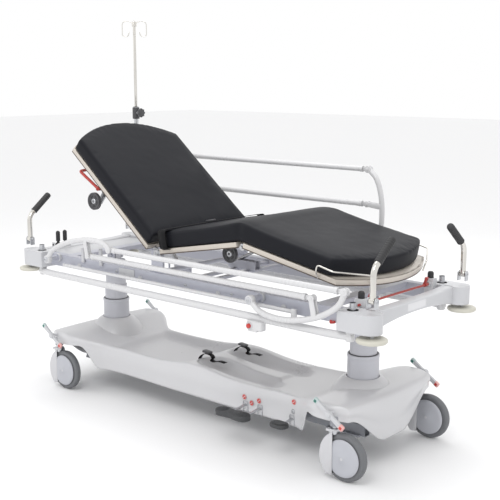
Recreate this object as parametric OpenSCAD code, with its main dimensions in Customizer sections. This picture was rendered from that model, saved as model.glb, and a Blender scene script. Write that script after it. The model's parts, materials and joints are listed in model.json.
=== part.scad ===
// Two-column ambulance cot: moulded base on four castors, tilting upper
// frame, three-section sprung platform, folding side rails and IV pole.
// Origin: centre of the castor footprint on the floor. +X foot end, +Z up.

/* [Base] */
// Distance from the centre to each castor swivel axis along the cot
castor_x = 888; // [880:1:892]
// Distance from the centreline to each castor swivel axis
castor_y = 320; // [316:1:324]
// Castor wheel diameter
wheel_d = 200; // [190:2:200]
// Tyre width
tyre_w = 34; // [28:1:36]
// Distance the wheel trails behind its swivel axis
trail = 55; // [45:1:58]
// Half width of the moulded cover between the columns
cover_half_w = 225; // [215:1:228]
// Height of the cover's rim between the columns
rim_z = 250; // [246:1:256]
// Height of the cover over the castors
cover_end_z = 300; // [296:1:306]
// Wall thickness of the moulded cover
cover_t = 4; // [3:0.5:5]

/* [Columns] */
// Distance from the centre to each column axis
column_x = 800; // [790:1:806]
// Outside diameter of the fixed sleeve
sleeve_d = 136; // [134:1:138]
// Height of the top of the fixed sleeve
sleeve_top = 435; // [430:1:440]
// Height of the trunnion pins that carry the upper frame
trunnion_z = 668; // [666:1:670]

/* [Upper frame] */
// Centre height of the side beams
beam_z = 675; // [672:1:678]
// Centre distance of the side beams from the centreline
beam_y = 300; // [298:1:302]
// Distance from the centre to each push handle and bumper disc
corner_x = 1071; // [1069:1:1074]
// Distance from the centreline to each push handle and bumper disc
corner_y = 343; // [341:1:345]
// Height of the bumper bars
bumper_z = 610; // [606:1:611]

/* [Platform] */
// Height of the platform hinge pins
hinge_z = 790; // [788:1:792]
// Position of the backrest hinge along the cot
back_hinge_x = -180; // [-182:1:-178]
// Position of the seat hinge along the cot
seat_hinge_x = -140; // [-142:1:-138]
// Backrest angle as stored
back_angle = 39.2; // [38:0.1:40]
// Seat rise and leg fall as stored
knee_angle = 10.4; // [10:0.1:11]
// Length of the seat section between its two hinges
seat_len = 530; // [526:1:532]
// Platform width
platform_w = 650; // [640:2:652]
// Mattress thickness
mattress_t = 75; // [60:1:78]

/* [Side rails] */
// Diameter of the rail tubes
rail_d = 25; // [22:1:25]
// Distance of the rail plane from the centreline
rail_y = 392; // [391:1:394]
// Post chord angle with the rail folded
fold_deg = 12.3; // [12:0.1:13]
// Post chord angle with the rail raised
raise_deg = 85.3; // [84:0.1:86]

/* [Hidden] */
$fn = 48;
eps = 0.05;
fit = 0.05;                       // radial clearance of a running fit
platform_h = 25;
sheet_t = 3;
wheel_r = wheel_d / 2;
sleeve_r = sleeve_d / 2;
mid_r = sleeve_r - 9.5;
piston_r = mid_r - 5.5;
post_r = rail_d / 2;
post_chord = 488.6;
mid_pin = [326.7, -13];
pivot_z = 690;
foot_pivot_x = 500;
head_pivot_x = -861;
bow_r = 578;                      // radius of the bowed platform ends
back_len = 805;
leg_len = 610;
arch_r = 164;                     // swept radius left free round each castor
brake_z = 280;
brake_deg = 34;
handle_z = 765;
iv_x = -985;
iv_y = 335;
gas_eye = [-450, -30];            // upper eye, in the backrest's own frame
gas_base = [-260, 690];
gas_y = -60;
back_pt = [back_hinge_x - 450 * cos(back_angle) - 30 * sin(back_angle),
           hinge_z + 450 * sin(back_angle) - 30 * cos(back_angle)];
gas_dir = [gas_base[0] - back_pt[0], gas_base[1] - back_pt[1]];
gas_len = norm(gas_dir);
gas_deg = atan2(gas_dir[0], gas_dir[1]);
strut_eye = [400, -14];           // upper eye of the knee strut, in the seat's frame
strut_pt = [seat_hinge_x + 400 * cos(knee_angle) + 14 * sin(knee_angle),
            hinge_z + 400 * sin(knee_angle) - 14 * cos(knee_angle)];
strut_foot_z = 716;
strut_len = 300;
strut_deg = asin((strut_pt[1] - strut_foot_z) / strut_len);

white = "#e4e4e8";
pale = "#d2d3da";
grey = "#a9acb6";
steel = "#c9cbd0";
rim_tint = "#d8d2c8";
black = "#2a2a2c";
navy = "#303038";
red = "#a8322c";
cream = "#e2ded2";

// ---------- small helpers ----------

// straight round bar between two points
module bar(a, b, r) {
    d = b - a;
    len = norm(d);
    translate(a)
        rotate([0, acos(d[2] / len), atan2(d[1], d[0])])
            cylinder(r = r, h = len);
}

// bent round bar: straights through the points with a slightly fuller ball at each bend
module pipe(points, r, fuller = 1.05) {
    for (i = [0 : len(points) - 2]) bar(points[i], points[i + 1], r);
    if (len(points) > 2) for (i = [1 : len(points) - 2]) translate(points[i]) sphere(r = r * fuller);
}

// cylinder along Y, centred on y
module pin_y(x, y, z, r, w) {
    translate([x, y + w / 2, z]) rotate([90, 0, 0]) cylinder(r = r, h = w);
}

// cylinder along X, centred on x
module pin_x(x, y, z, r, w) {
    translate([x - w / 2, y, z]) rotate([0, 90, 0]) cylinder(r = r, h = w);
}

// box given by its lowest and highest corners
module block(lo, hi) {
    translate(lo) cube(hi - lo);
}

module both_y() {
    children();
    mirror([0, 1, 0]) children();
}

module both_x() {
    children();
    mirror([1, 0, 0]) children();
}

// ---------- base ----------

module base_chassis() color(grey) {
    rail_lo = 118;
    rail_hi = 168;
    arm_hi = 262;
    difference() {
        union() {
            both_y() block([-904, 95, rail_lo], [904, 130, rail_hi]);
            both_x() {
                block([column_x - 84, -150, rail_lo], [column_x + 84, 150, rail_lo + 8]);
                translate([column_x, 0, rail_lo]) cylinder(r = sleeve_r + 14, h = 70);
                both_y() block([castor_x - 16, 95, rail_lo], [castor_x + 16, 130, arm_hi]);
                block([castor_x - 16, -castor_y, arm_hi - 26], [castor_x + 16, castor_y, arm_hi]);
                both_y() translate([castor_x, castor_y, 222]) cylinder(r = 20, h = arm_hi - 222);
            }
            both_y() for (x = [304, 422, 568, 616])
                block([x - 4, 125, 140], [x + 4, 180, 162]);
        }
        both_x() {
            translate([column_x, 0, 0]) cylinder(r = sleeve_r, h = 300);
            both_y() translate([castor_x, castor_y, 200]) cylinder(r = 10 + fit, h = 58);
        }
        both_y() block([-910, 98, rail_lo + 3], [910, 127, rail_hi - 3]);
        both_y() pin_x(460, 170, 150, 6 + fit, 360);
    }
}

// height of the cover's rim along the cot, with a low hump in the middle
function rim_height(x) = rim_z + 24 * exp(-pow(x / 170, 2));

module cover_waist(t) {
    steps = [-760 : 40 : 760];
    rotate([90, 0, 0])
        linear_extrude(2 * (cover_half_w - t), center = true)
            polygon(concat([[760, t > 0 ? 0 : 115], [-760, t > 0 ? 0 : 115]],
                           [for (x = steps) [x, rim_height(x) - t]]));
}

module cover_end_plan(t) {
    outer = 348;
    arc_x = 918;
    difference() {
        union() {
            polygon([[560, -cover_half_w + t], [640, -cover_half_w + t], [790, -outer + t],
                     [arc_x, -outer + t], [arc_x, outer - t], [790, outer - t],
                     [640, cover_half_w - t], [560, cover_half_w - t]]);
            intersection() {
                translate([-402, 0]) circle(r = 1368 - t, $fn = 180);
                translate([arc_x - 1, -outer + t]) square([80, 2 * (outer - t)]);
            }
        }
        for (s = [-1, 1]) translate([arc_x + 60, s * outer]) rotate(45) square(70, center = true);
    }
}

module cover_end(t) {
    // half of the U-shaped lower edge of the end apron
    skirt = [[0, 103], [60, 107], [100, 116], [140, 129], [170, 145], [198, 162], [222, 184],
             [250, 208], [300, 230], [348, 238]];
    drop = t > 0 ? 300 : 0;
    intersection() {
        linear_extrude(cover_end_z - t) cover_end_plan(t);
        rotate([90, 0, 90]) translate([0, 0, 500]) linear_extrude(600)
            polygon(concat([for (p = skirt) [p[0], p[1] - drop]],
                           [[348, cover_end_z - 14], [330, cover_end_z], [-330, cover_end_z],
                            [-348, cover_end_z - 14]],
                           [for (i = [len(skirt) - 1 : -1 : 1]) [-skirt[i][0], skirt[i][1] - drop]]));
    }
}

// shallow tray over the head half of the cover
module tray(t) {
    block([-600 - t, -185 - t, 212 - t], [-90 + t, 185 + t, 400]);
}

// two cradles for gas bottles over the foot half
module cradles(t) {
    r = 82 + t;
    axis_z = 292;
    for (s = [-1, 1]) {
        pin_x(200, s * 105, axis_z, r, 320);
        for (x = [40, 360]) translate([x, s * 105, axis_z]) sphere(r = r);
    }
}

module dome() {
    top_z = 336;
    low_z = cover_end_z - 2;
    curve = [for (i = [0 : 8]) let (f = i / 8) [73 + 44 * pow(f, 1.7), top_z - (top_z - low_z) * f]];
    translate([column_x, 0, 0]) rotate_extrude($fn = 72)
        polygon(concat(curve, [for (i = [8 : -1 : 0]) [curve[i][0] - cover_t, curve[i][1]]]));
}

module base_cover() color(white) difference() {
    union() {
        difference() {
            union() {
                cover_waist(0);
                both_x() cover_end(0);
            }
            difference() {
                union() {
                    translate([0, 0, -eps]) cover_waist(cover_t);
                    both_x() translate([0, 0, -eps]) cover_end(cover_t);
                }
                tray(cover_t);
                cradles(cover_t);
            }
            tray(0);
            cradles(0);
            both_x() translate([column_x, 0, 90]) cylinder(r = 110, h = 300);
        }
        both_x() dome();
    }
    both_x() both_y() translate([castor_x, castor_y, -1]) cylinder(r = arch_r, h = 216);
    both_x() pin_y(castor_x, 0, brake_z, 12, 900);
    both_y() for (x = [322, 405, 592])
        block([x - 9, cover_half_w - 20, 100], [x + 9, cover_half_w + 5, 166]);
}

module column_sleeves() color(pale) both_x() translate([column_x, 0, 0]) difference() {
    union() {
        translate([0, 0, 105]) cylinder(r = sleeve_r, h = sleeve_top - 105);
        translate([0, 0, sleeve_top - 12]) cylinder(r = sleeve_r + 1.5, h = 12);
    }
    translate([0, 0, 100]) cylinder(r = mid_r + 0.5, h = 400);
}

module hydraulic_pump() color(grey) {
    pin_x(380, 0, 158, 28, 240);
    pin_x(525, 0, 158, 14, 60);
    pin_x(240, 0, 158, 34, 50);
    block([340, -94.5, 120], [400, 94.5, 150]);
}

// ---------- lifting columns ----------

module lift_tubes() color(pale) both_x() translate([column_x, 0, 240]) difference() {
    cylinder(r = mid_r, h = 264);
    translate([0, 0, -1]) cylinder(r = piston_r + 0.5, h = 280);
}

module piston(x) translate([x, 0, 0]) {
    difference() {
        translate([0, 0, 330]) cylinder(r = piston_r, h = 310);
        translate([0, 0, 320]) cylinder(r = piston_r - 6, h = 312);
    }
    block([-28, -18, 639], [28, 18, trunnion_z + 8]);
    pin_y(0, 0, trunnion_z, 10, 78);
}

module head_piston() color(pale) piston(-column_x);
module foot_piston() color(pale) piston(column_x);

// ---------- castors ----------

module castor_fork(sx, sy) color(white) translate([sx * castor_x, sy * castor_y, 0]) {
    difference() {
        union() {
            translate([0, 0, 190]) cylinder(r = 10, h = 64);
            translate([0, 0, 186]) cylinder(r = 24, h = 24);
            // hood over the leading quarter of the wheel
            intersection() {
                pin_y(trail, 0, wheel_r, wheel_r + 8, 50);
                block([-60, -25, 40], [trail - 42, 25, 208]);
            }
            // round dust covers that carry the axle
            for (s = [-1, 1]) pin_y(trail, s * 22, wheel_r, 76, 6);
        }
        pin_y(trail, 0, wheel_r, wheel_r + 4, tyre_w + 4);
    }
    pin_y(trail, 0, wheel_r, 6, tyre_w + 8);
}

module castor_fork_head_near() castor_fork(-1, -1);
module castor_fork_head_far() castor_fork(-1, 1);
module castor_fork_foot_near() castor_fork(1, -1);
module castor_fork_foot_far() castor_fork(1, 1);

module castor_wheel(sx, sy) color("#8a8d90")
    translate([sx * castor_x + trail, sy * castor_y, wheel_r]) rotate([90, 0, 0])
        rotate_extrude($fn = 96) {
            edge = 6;
            half = tyre_w / 2;
            polygon([[6 + fit, -half + 2], [wheel_r - edge, -half], [wheel_r - 1.5, -half + 4],
                     [wheel_r, -half + 9], [wheel_r, half - 9], [wheel_r - 1.5, half - 4],
                     [wheel_r - edge, half], [6 + fit, half - 2]]);
        }

module wheel_head_near() castor_wheel(-1, -1);
module wheel_head_far() castor_wheel(-1, 1);
module wheel_foot_near() castor_wheel(1, -1);
module wheel_foot_far() castor_wheel(1, 1);

// ---------- pedals and brakes ----------

module pump_pedal(s) {
    color(steel) {
        pin_x(363, s * 170, 150, 6, 122);
        for (x = [322, 405])
            block([x - 6, min(s * 166, s * 330), 144], [x + 6, max(s * 166, s * 330), 156]);
    }
    color(black) difference() {
        translate([363, s * 352, 138]) linear_extrude(26) union() {
            for (d = [-58, 58]) translate([d, 0]) circle(r = 34);
            square([116, 52], center = true);
        }
        translate([363, s * 352, 190]) pin_y(0, 0, 0, 44, 90);
    }
}

module release_pedal(s) {
    color(steel) {
        pin_x(592, s * 170, 150, 6, 52);
        block([586, min(s * 166, s * 290), 144], [598, max(s * 166, s * 290), 156]);
    }
    color(black) translate([592, s * 312, 138]) linear_extrude(24) union() {
        for (d = [-14, 14]) translate([d, 0]) circle(r = 30);
        square([28, 60], center = true);
    }
}

module pump_pedal_near() pump_pedal(-1);
module pump_pedal_far() pump_pedal(1);
module release_pedal_near() release_pedal(-1);
module release_pedal_far() release_pedal(1);

module brake_levers(x) color(pale) {
    pin_y(x, 0, brake_z, 7, 740);
    both_y() translate([x, 363, brake_z]) rotate([0, brake_deg, 0]) {
        pin_y(0, 0, 0, 15, 18);
        block([-76, -6, -9], [76, 6, 9]);
        for (d = [-78, 78]) pin_y(d, 0, 0, 11, 16);
    }
}

module brake_levers_head() brake_levers(-castor_x);
module brake_levers_foot() brake_levers(castor_x);

// ---------- upper frame ----------

module upper_chassis() color(pale) {
    in_y = beam_y - 20;
    difference() {
        union() {
            both_y() block([-930, in_y, beam_z - 30], [930, beam_y + 20, beam_z + 30]);
            both_x() {
                block([column_x - 30, -in_y, 684], [column_x + 30, in_y, 705]);
                both_y() block([column_x - 25, 25, 652], [column_x + 25, 33, 686]);
            }
            both_y() {
                // hip brackets that carry the backrest and seat pins
                block([back_hinge_x - 18, 285, 700], [seat_hinge_x + 18, 297, hinge_z + 14]);
                // bosses and pins of the side rail posts
                for (x = [head_pivot_x, foot_pivot_x]) {
                    pin_y(x, beam_y + 27, pivot_z, 20, 18);
                    pin_y(x, (beam_y + 20 + rail_y - 13.5) / 2, pivot_z, 13, rail_y - 13.5 - beam_y - 20);
                    pin_y(x, rail_y, pivot_z, 8, 27);
                    pin_y(x, rail_y + 15, pivot_z, 14, 3);
                }
            }
            both_y() block([column_x - 25, 25, 650], [column_x + 52, 33, 686]);
            // cross tube with the windowed plates for the gas spring's foot
            pin_y(gas_base[0] + 66, 0, 690, 12, 2 * in_y + 2);
            for (y = [-22, 22])
                block([gas_base[0] - 46, gas_y + y - 3, 656], [gas_base[0] + 66, gas_y + y + 3, 708]);
            // channel under the seat for the knee strut's roller
            for (y = [-18, 18]) block([-20, 60 + y - 2, 700], [150, 60 + y + 2, 740]);
            block([-20, 44, 696], [150, 76, 702]);
            for (x = [20, 110]) block([x - 12, -in_y, 684], [x + 12, in_y, 697]);
        }
        both_y() block([-940, in_y + 3, beam_z - 27], [940, beam_y + 17, beam_z + 27]);
        pin_y(-column_x, 0, trunnion_z, 10 + fit, 80);
        trunnion_slot(column_x, trunnion_z, 12, 26);
        both_y() for (x = [back_hinge_x, seat_hinge_x]) pin_y(x, 291, hinge_z, 8 + fit, 20);
        // window for the travel of the gas spring's lower pin
        for (y = [-22, 22])
            block([gas_base[0] - 38, gas_y + y - 5, 664], [gas_base[0] + 10, gas_y + y + 5, 699]);
    }
}

// slot through the foot column's bracket plates, open outwards from the stored place
module trunnion_slot(x, z, r, travel) {
    for (d = [0, travel]) pin_y(x + d, 0, z, r, 80);
    block([x, -40, z - r], [x + travel, 40, z + r]);
}

// corner housing with its rounded post, handle clevis and pole socket
module corner_housing(socket_x) {
    block([930, 285, 627], [1050, 375, 738]);
    translate([1056, 335, 627]) cylinder(r = 49, h = 113);
    for (d = [-17, 17])
        block([corner_x + d - 3, corner_y - 12, 735], [corner_x + d + 3, corner_y + 12, handle_z + 11]);
    pin_x(corner_x, corner_y, handle_z, 5, 40);
    translate([socket_x, iv_y, 730]) cylinder(r = 19, h = 12);
    translate([corner_x, corner_y, 616]) cylinder(r = 8, h = 15);
}

module end_casting(socket_x) {
    difference() {
        union() {
            both_y() corner_housing(socket_x);
            block([1000, -290, 656], [1050, 290, 712]);
            both_y() block([1000, 238, 700], [1050, 290, 742]);
        }
        both_y() translate([socket_x, iv_y, 655]) cylinder(r = 12.75, h = 100);
        both_y() block([930 - 1, 318, 626], [990, 400, 645]);
    }
}

module foot_end_casting() color(white) difference() {
    union() {
        end_casting(975);
        both_y() {
            block([940, 245, 664], [1001, 275, 690]);
            block([940, 245, 690], [985, 275, 745]);
        }
    }
    pin_y(966, 0, 722, 5 + fit, 600);
}

module head_end_casting() color(white) difference() {
    union() {
        mirror([1, 0, 0]) end_casting(-iv_x);
        block([-1001, -279, 696], [-835, 279, 703]);
        for (y = [-229, -126]) block([-1036, y - 3, 710], [-1014, y + 3, 736]);
    }
    pin_y(-1025, -178, 724, 5 + fit, 130);
}

module bumper_bars() color(white) both_y() {
    difference() {
        union() {
            bar([-900, 361, bumper_z], [900, 361, bumper_z], 16);
            both_x() {
                bar([898, 361, bumper_z], [972, 343, bumper_z], 15.5);
                translate([970, 343, bumper_z - 19]) cylinder(r = 18, h = 627 - bumper_z + 19);
            }
            block([478, 360, 564], [560, 394, 600]);
        }
        pin_y(496, 390, 580, 10 + fit, 44);
    }
}

module equipment_rails() color(white) both_y() {
    bar([-790, 350, 664], [690, 350, 664], 8);
    for (x = [-700, -250, 250, 620]) pin_y(x, 336, 664, 6, 32);
    block([686, 341, 634], [708, 358, 674]);
}

module bumper_discs() color(cream) both_x() both_y()
    translate([corner_x, corner_y, 602]) difference() {
        rotate_extrude($fn = 72)
            polygon([[0, 0], [56, 0], [61, 4], [62, 9], [61, 14], [56, 18], [0, 18]]);
        translate([0, 0, 14]) cylinder(r = 8 + fit, h = 10);
    }

module push_handle(sx, sy) translate([sx * corner_x, 0, 0]) {
    y0 = sy * corner_y;
    bend_r = 55;
    lean = 51;
    bend = [for (a = [0, 17, 34, lean])
            [0, y0 - sy * bend_r * (1 - cos(a)), 858 + bend_r * sin(a)]];
    tip = bend[3];
    out = [0, -sy * sin(lean), cos(lean)];
    color("#d6d3cc") difference() {
        union() {
            pipe(concat([[0, y0, handle_z]], bend, [tip + 36 * out]), 12.5);
            pin_x(0, y0, handle_z, 13.5, 24);
        }
        pin_x(0, y0, handle_z, 5 + fit, 40);
    }
    color(black) difference() {
        bar(tip + 12 * out, tip + 140 * out, 16);
        bar(tip, tip + 36.4 * out, 12.6);
    }
}

module push_handle_head_near() push_handle(-1, -1);
module push_handle_head_far() push_handle(-1, 1);
module push_handle_foot_near() push_handle(1, -1);
module push_handle_foot_far() push_handle(1, 1);

// ---------- side rails ----------

// place a child, drawn in the post's own frame, at a pivot and chord angle
module at_post(px, deg, s) {
    translate([px, s * rail_y, pivot_z]) rotate([0, -deg, 0]) children();
}

// knuckle with a slot for a tube's tongue and a fixed pin
module knuckle(p, r) pin_y(p[0], 0, p[1], r, rail_d + 1);

module rail_post(bulge, px, deg, s) color(white) at_post(px, deg, s) {
    top = [post_chord, 0];
    bow = 0.8 * bulge;
    pts = [[0, 0, 0], [post_chord * 0.16, 0, bow], [post_chord * 0.84, 0, bow], [post_chord, 0, 0]];
    difference() {
        union() {
            pipe(pts, post_r, 1.08);
            knuckle([0, 0], 20);
            knuckle(top, 16);
            bar([mid_pin[0], 0, bow], [mid_pin[0], 0, mid_pin[1]], 10);
            knuckle(mid_pin, 14);
        }
        pin_y(0, 0, 0, 8 + fit, 60);
        for (p = [top, mid_pin]) pin_y(p[0], 0, p[1], 33, 11);
    }
    for (p = [top, mid_pin]) pin_y(p[0], 0, p[1], 5, 20);
}

// tube with a flat tongue and a bore at each end
module rail_tube(p, deg, s) {
    head = [head_pivot_x + p[0] * cos(deg) - p[1] * sin(deg),
            pivot_z + p[0] * sin(deg) + p[1] * cos(deg)];
    span = foot_pivot_x - head_pivot_x;
    color(white) translate([head[0], s * rail_y, head[1]]) difference() {
        union() {
            bar([34, 0, 0], [span - 34, 0, 0], post_r);
            for (x = [0, span]) pin_y(x, 0, 0, 12, 10);
            block([0, -5, -10], [50, 5, 10]);
            block([span - 50, -5, -10], [span, 5, 10]);
        }
        for (x = [0, span]) pin_y(x, 0, 0, 5 + fit, 20);
        bar([54, 0, 0], [span - 54, 0, 0], post_r - 2);
    }
}

module rail_head_post_near() rail_post(70, head_pivot_x, fold_deg, -1);
module rail_foot_post_near() rail_post(-98, foot_pivot_x, fold_deg, -1);
module rail_top_tube_near() rail_tube([post_chord, 0], fold_deg, -1);
module rail_mid_tube_near() rail_tube(mid_pin, fold_deg, -1);
module rail_head_post_far() rail_post(70, head_pivot_x, raise_deg, 1);
module rail_foot_post_far() rail_post(-98, foot_pivot_x, raise_deg, 1);
module rail_top_tube_far() rail_tube([post_chord, 0], raise_deg, 1);
module rail_mid_tube_far() rail_tube(mid_pin, raise_deg, 1);

module latch_button(s) color(red) {
    pin_y(496, s * 391, 580, 10, 26);
}
module latch_button_near() latch_button(-1);
module latch_button_far() latch_button(1);

// ---------- platform and mattress ----------

module at_back() translate([back_hinge_x, 0, hinge_z]) rotate([0, back_angle, 0]) children();
module at_seat() translate([seat_hinge_x, 0, hinge_z]) rotate([0, -knee_angle, 0]) children();
module at_leg() translate([seat_hinge_x + seat_len * cos(knee_angle), 0,
                           hinge_z + seat_len * sin(knee_angle)])
    rotate([0, knee_angle, 0]) children();

// outline of an end section, straight sides and one bowed end at +x
module bowed(x0, x1, half_w, inset) {
    intersection() {
        translate([x0, -half_w]) square([x1 - x0, 2 * half_w]);
        translate([x1 - bow_r, 0]) circle(r = bow_r - inset, $fn = 180);
    }
}

// open tray: a sheet with an upstanding rim under it
module tray_section(x0, x1, bow) {
    half = platform_w / 2;
    rim = 18;
    difference() {
        linear_extrude(platform_h)
            if (bow) bowed(x0, x1, half, 0);
            else translate([x0, -half]) square([x1 - x0, 2 * half]);
        translate([0, 0, -1]) linear_extrude(platform_h - sheet_t + 1)
            if (bow) bowed(x0 + rim, x1, half - rim, rim);
            else translate([x0 + rim, -half + rim]) square([x1 - x0 - 2 * rim, 2 * (half - rim)]);
    }
}

module lug(x, y, x_to) {
    pin_y(x, y, 0, 16, 12);
    block([min(x, x_to), y - 6, 0], [max(x, x_to), y + 6, 16]);
}

module back_platform() color(rim_tint) at_back() {
    difference() {
        union() {
            mirror([1, 0, 0]) tray_section(30, back_len, true);
            both_y() {
                lug(0, 276, -60);
                pin_y(0, 285, 0, 8, 26);
            }
            // eye plates of the gas spring
            for (y = [-16, 16])
                block([gas_eye[0] - 14, gas_y + y - 3, gas_eye[1] - 14], [gas_eye[0] + 14, gas_y + y + 3, 23]);
            block([-470, -298, -28], [-430, -290, 23]);
            block([-440, -298, -80], [-410, -290, 23]);
        }
        for (y = [-16, 16]) pin_y(gas_eye[0], gas_y + y, gas_eye[1], 6 + fit, 10);
        pin_y(-455, -294, -14, 5 + fit, 20);
    }
    pin_y(-425, -319, -68, 6, 52);
}

module seat_platform() color(rim_tint) at_seat() {
    difference() {
        union() {
            tray_section(30, seat_len - 18, false);
            both_y() {
                lug(0, 306, 50);
                pin_y(0, 298, 0, 8, 28);
                lug(seat_len, 291, seat_len - 60);
                pin_y(seat_len, 300, 0, 8, 30);
            }
            for (y = [46, 74]) block([strut_eye[0] - 14, y - 3, -28], [strut_eye[0] + 14, y + 3, 23]);
            block([404, -262, -40], [436, -256, 23]);
        }
        for (y = [46, 74]) pin_y(strut_eye[0], y, strut_eye[1], 6 + fit, 10);
    }
    pin_y(420, -270, -26, 6, 26);
}

module leg_platform() color(rim_tint) at_leg() difference() {
    union() {
        tray_section(17.5, leg_len, true);
        both_y() {
            lug(0, 306, 60);
            // sockets of the retainer wires
            block([419, 323, 2], [431, 336, 14]);
            block([568, 186, 2], [597, 198, 14]);
        }
    }
    both_y() {
        pin_y(0, 306, 0, 8 + fit, 40);
        for (p = [[425, 330], [590, 192]]) translate([p[0], p[1], 5]) cylinder(r = 3.5 + fit, h = 30);
    }
}

// mattress section: straight outline with a sloping end over the hip
module pad(x0, x1, slope, bow, half_w) {
    lift = platform_h + 0.5;
    intersection() {
        rotate([90, 0, 0]) linear_extrude(2 * half_w, center = true)
            polygon([[x0, lift], [x1, lift], [x1, lift + mattress_t],
                     [x0 + slope, lift + mattress_t]]);
        linear_extrude(300)
            if (bow) bowed(x0, x1, half_w, 0);
            else translate([x0, -half_w]) square([x1 - x0, 2 * half_w]);
    }
}

module mattress_back() color(navy) at_back() mirror([1, 0, 0]) pad(34, back_len - 8, 88, true, 322);
module mattress_seat() color(navy) at_seat() pad(34, seat_len - 2, 88, false, 322);
module mattress_leg() color(navy) at_leg() pad(2, leg_len - 28, 0, true, 322);

module retainer_wires() color("#d6d3cc") at_leg() both_y()
    pipe([[425, 330, 5.5], [425, 330, 62], [505, 330, 60], [590, 192, 50], [590, 192, 5.5]], 3.5);

module back_release_lever() color(red) at_back() {
    pin_y(-455, -308, -14, 5, 44);
    pin_y(-455, -315, -14, 11, 22);
    bar([-455, -318, -14], [-606, -318, -40], 7);
    pin_y(-612, -298, -41, 9, 64);
}

module strap_reel(r, w) difference() {
    pin_y(0, 0, 0, r, w);
    pin_y(0, 0, 0, 6 + fit, 60);
    for (a = [0 : 60 : 300]) rotate([0, a, 0]) pin_y(26, 0, 0, 7, 60);
}

module strap_reel_back() color("#55565a") at_back() translate([-425, -334, -68]) strap_reel(42, 18);
module strap_reel_seat() color("#55565a") at_seat() translate([420, -272, -26]) strap_reel(40, 16);

// ---------- struts ----------

module at_gas_eye() translate([back_pt[0], gas_y, back_pt[1]]) rotate([0, gas_deg, 0]) children();

module gas_spring_rod() color("#5b5d62") at_gas_eye() {
    pin_y(0, 0, 0, 6, 38);
    pin_y(0, 0, 0, 11, 18);
    cylinder(r = 5, h = 300);
}

module gas_spring_cylinder() color(white) at_gas_eye() difference() {
    union() {
        translate([0, 0, gas_len - 258]) cylinder(r = 13, h = 240);
        translate([0, 0, gas_len - 20]) cylinder(r = 8, h = 18);
        pin_y(0, 0, gas_len, 11, 18);
        pin_y(0, 0, gas_len, 6, 54);
    }
    translate([0, 0, gas_len - 260]) cylinder(r = 5 + fit, h = 232);
}

module knee_strut() color(steel)
    translate([strut_pt[0], 60, strut_pt[1]]) rotate([0, -strut_deg, 0]) {
        pin_y(0, 0, 0, 6, 34);
        pin_y(0, 0, 0, 12, 16);
        bar([0, 0, 0], [-strut_len, 0, 0], 7);
        pin_y(-strut_len, 0, 0, 9, 24);
    }

// ---------- hand controls ----------

module tilt_bar() color(red) {
    pin_y(966, 0, 722, 5, 570);
    both_y() translate([966, 212, 722]) rotate([0, 20, 0]) {
        pin_y(0, 0, 0, 9, 16);
        block([-9, -7, 0], [0, 7, 34]);
    }
}

module tilt_grips() color(black) {
    pin_y(-1025, -178, 724, 5, 112);
    for (y = [-200, -155]) {
        pin_y(-1025, y, 724, 9, 18);
        translate([-1025, y, 724]) cylinder(r = 7, h = 20);
        translate([-1025, y, 740]) cylinder(r = 11, h = 44);
        translate([-1025, y, 784]) sphere(r = 11);
    }
}

// ---------- infusion pole ----------

module iv_tube() color(steel) translate([iv_x, iv_y, 0]) difference() {
    union() {
        translate([0, 0, 656]) cylinder(r = 12.5, h = 720);
        color(black) translate([0, 0, 1370]) cylinder(r = 18, h = 60);
        pin_x(20, 0, 1400, 11, 20);
    }
    translate([0, 0, 700]) cylinder(r = 10, h = 672);
    translate([0, 0, 1360]) cylinder(r = 8 + fit, h = 80);
    pin_x(22, 0, 1400, 4 + fit, 30);
}

module iv_knob() color(black) translate([iv_x, iv_y, 1400]) {
    pin_x(22, 0, 0, 4, 25);
    pin_x(40, 0, 0, 23, 16);
}

module iv_rod() color("#d6d3cc") translate([iv_x, iv_y, 1240]) cylinder(r = 8, h = 640);

module iv_hooks() color("#d6d3cc") translate([iv_x, iv_y, 0]) {
    difference() {
        translate([0, 0, 1866]) cylinder(r = 13, h = 28);
        translate([0, 0, 1860]) cylinder(r = 8, h = 20);
    }
    for (a = [45 : 90 : 315]) rotate(a)
        pipe([[6, 0, 1884], [34, 0, 1900], [66, 0, 1890], [66, 0, 1814], [34, 0, 1814],
              [28, 0, 1840]], 2.6);
}

// ---------- selection ----------
base_chassis();
base_cover();
column_sleeves();
hydraulic_pump();
lift_tubes();
head_piston();
foot_piston();
castor_fork_head_near();
castor_fork_head_far();
castor_fork_foot_near();
castor_fork_foot_far();
wheel_head_near();
wheel_head_far();
wheel_foot_near();
wheel_foot_far();
pump_pedal_near();
pump_pedal_far();
release_pedal_near();
release_pedal_far();
brake_levers_head();
brake_levers_foot();
upper_chassis();
head_end_casting();
foot_end_casting();
bumper_bars();
equipment_rails();
bumper_discs();
push_handle_head_near();
push_handle_head_far();
push_handle_foot_near();
push_handle_foot_far();
rail_head_post_near();
rail_foot_post_near();
rail_top_tube_near();
rail_mid_tube_near();
rail_head_post_far();
rail_foot_post_far();
rail_top_tube_far();
rail_mid_tube_far();
latch_button_near();
latch_button_far();
back_platform();
mattress_back();
seat_platform();
mattress_seat();
leg_platform();
mattress_leg();
retainer_wires();
back_release_lever();
strap_reel_back();
strap_reel_seat();
gas_spring_rod();
gas_spring_cylinder();
knee_strut();
tilt_bar();
tilt_grips();
iv_tube();
iv_knob();
iv_rod();
iv_hooks();
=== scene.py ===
"""Looks of the ambulance cot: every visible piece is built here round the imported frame."""
import json
import math

import bmesh
import bpy
from mathutils import Matrix, Vector, noise

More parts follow.
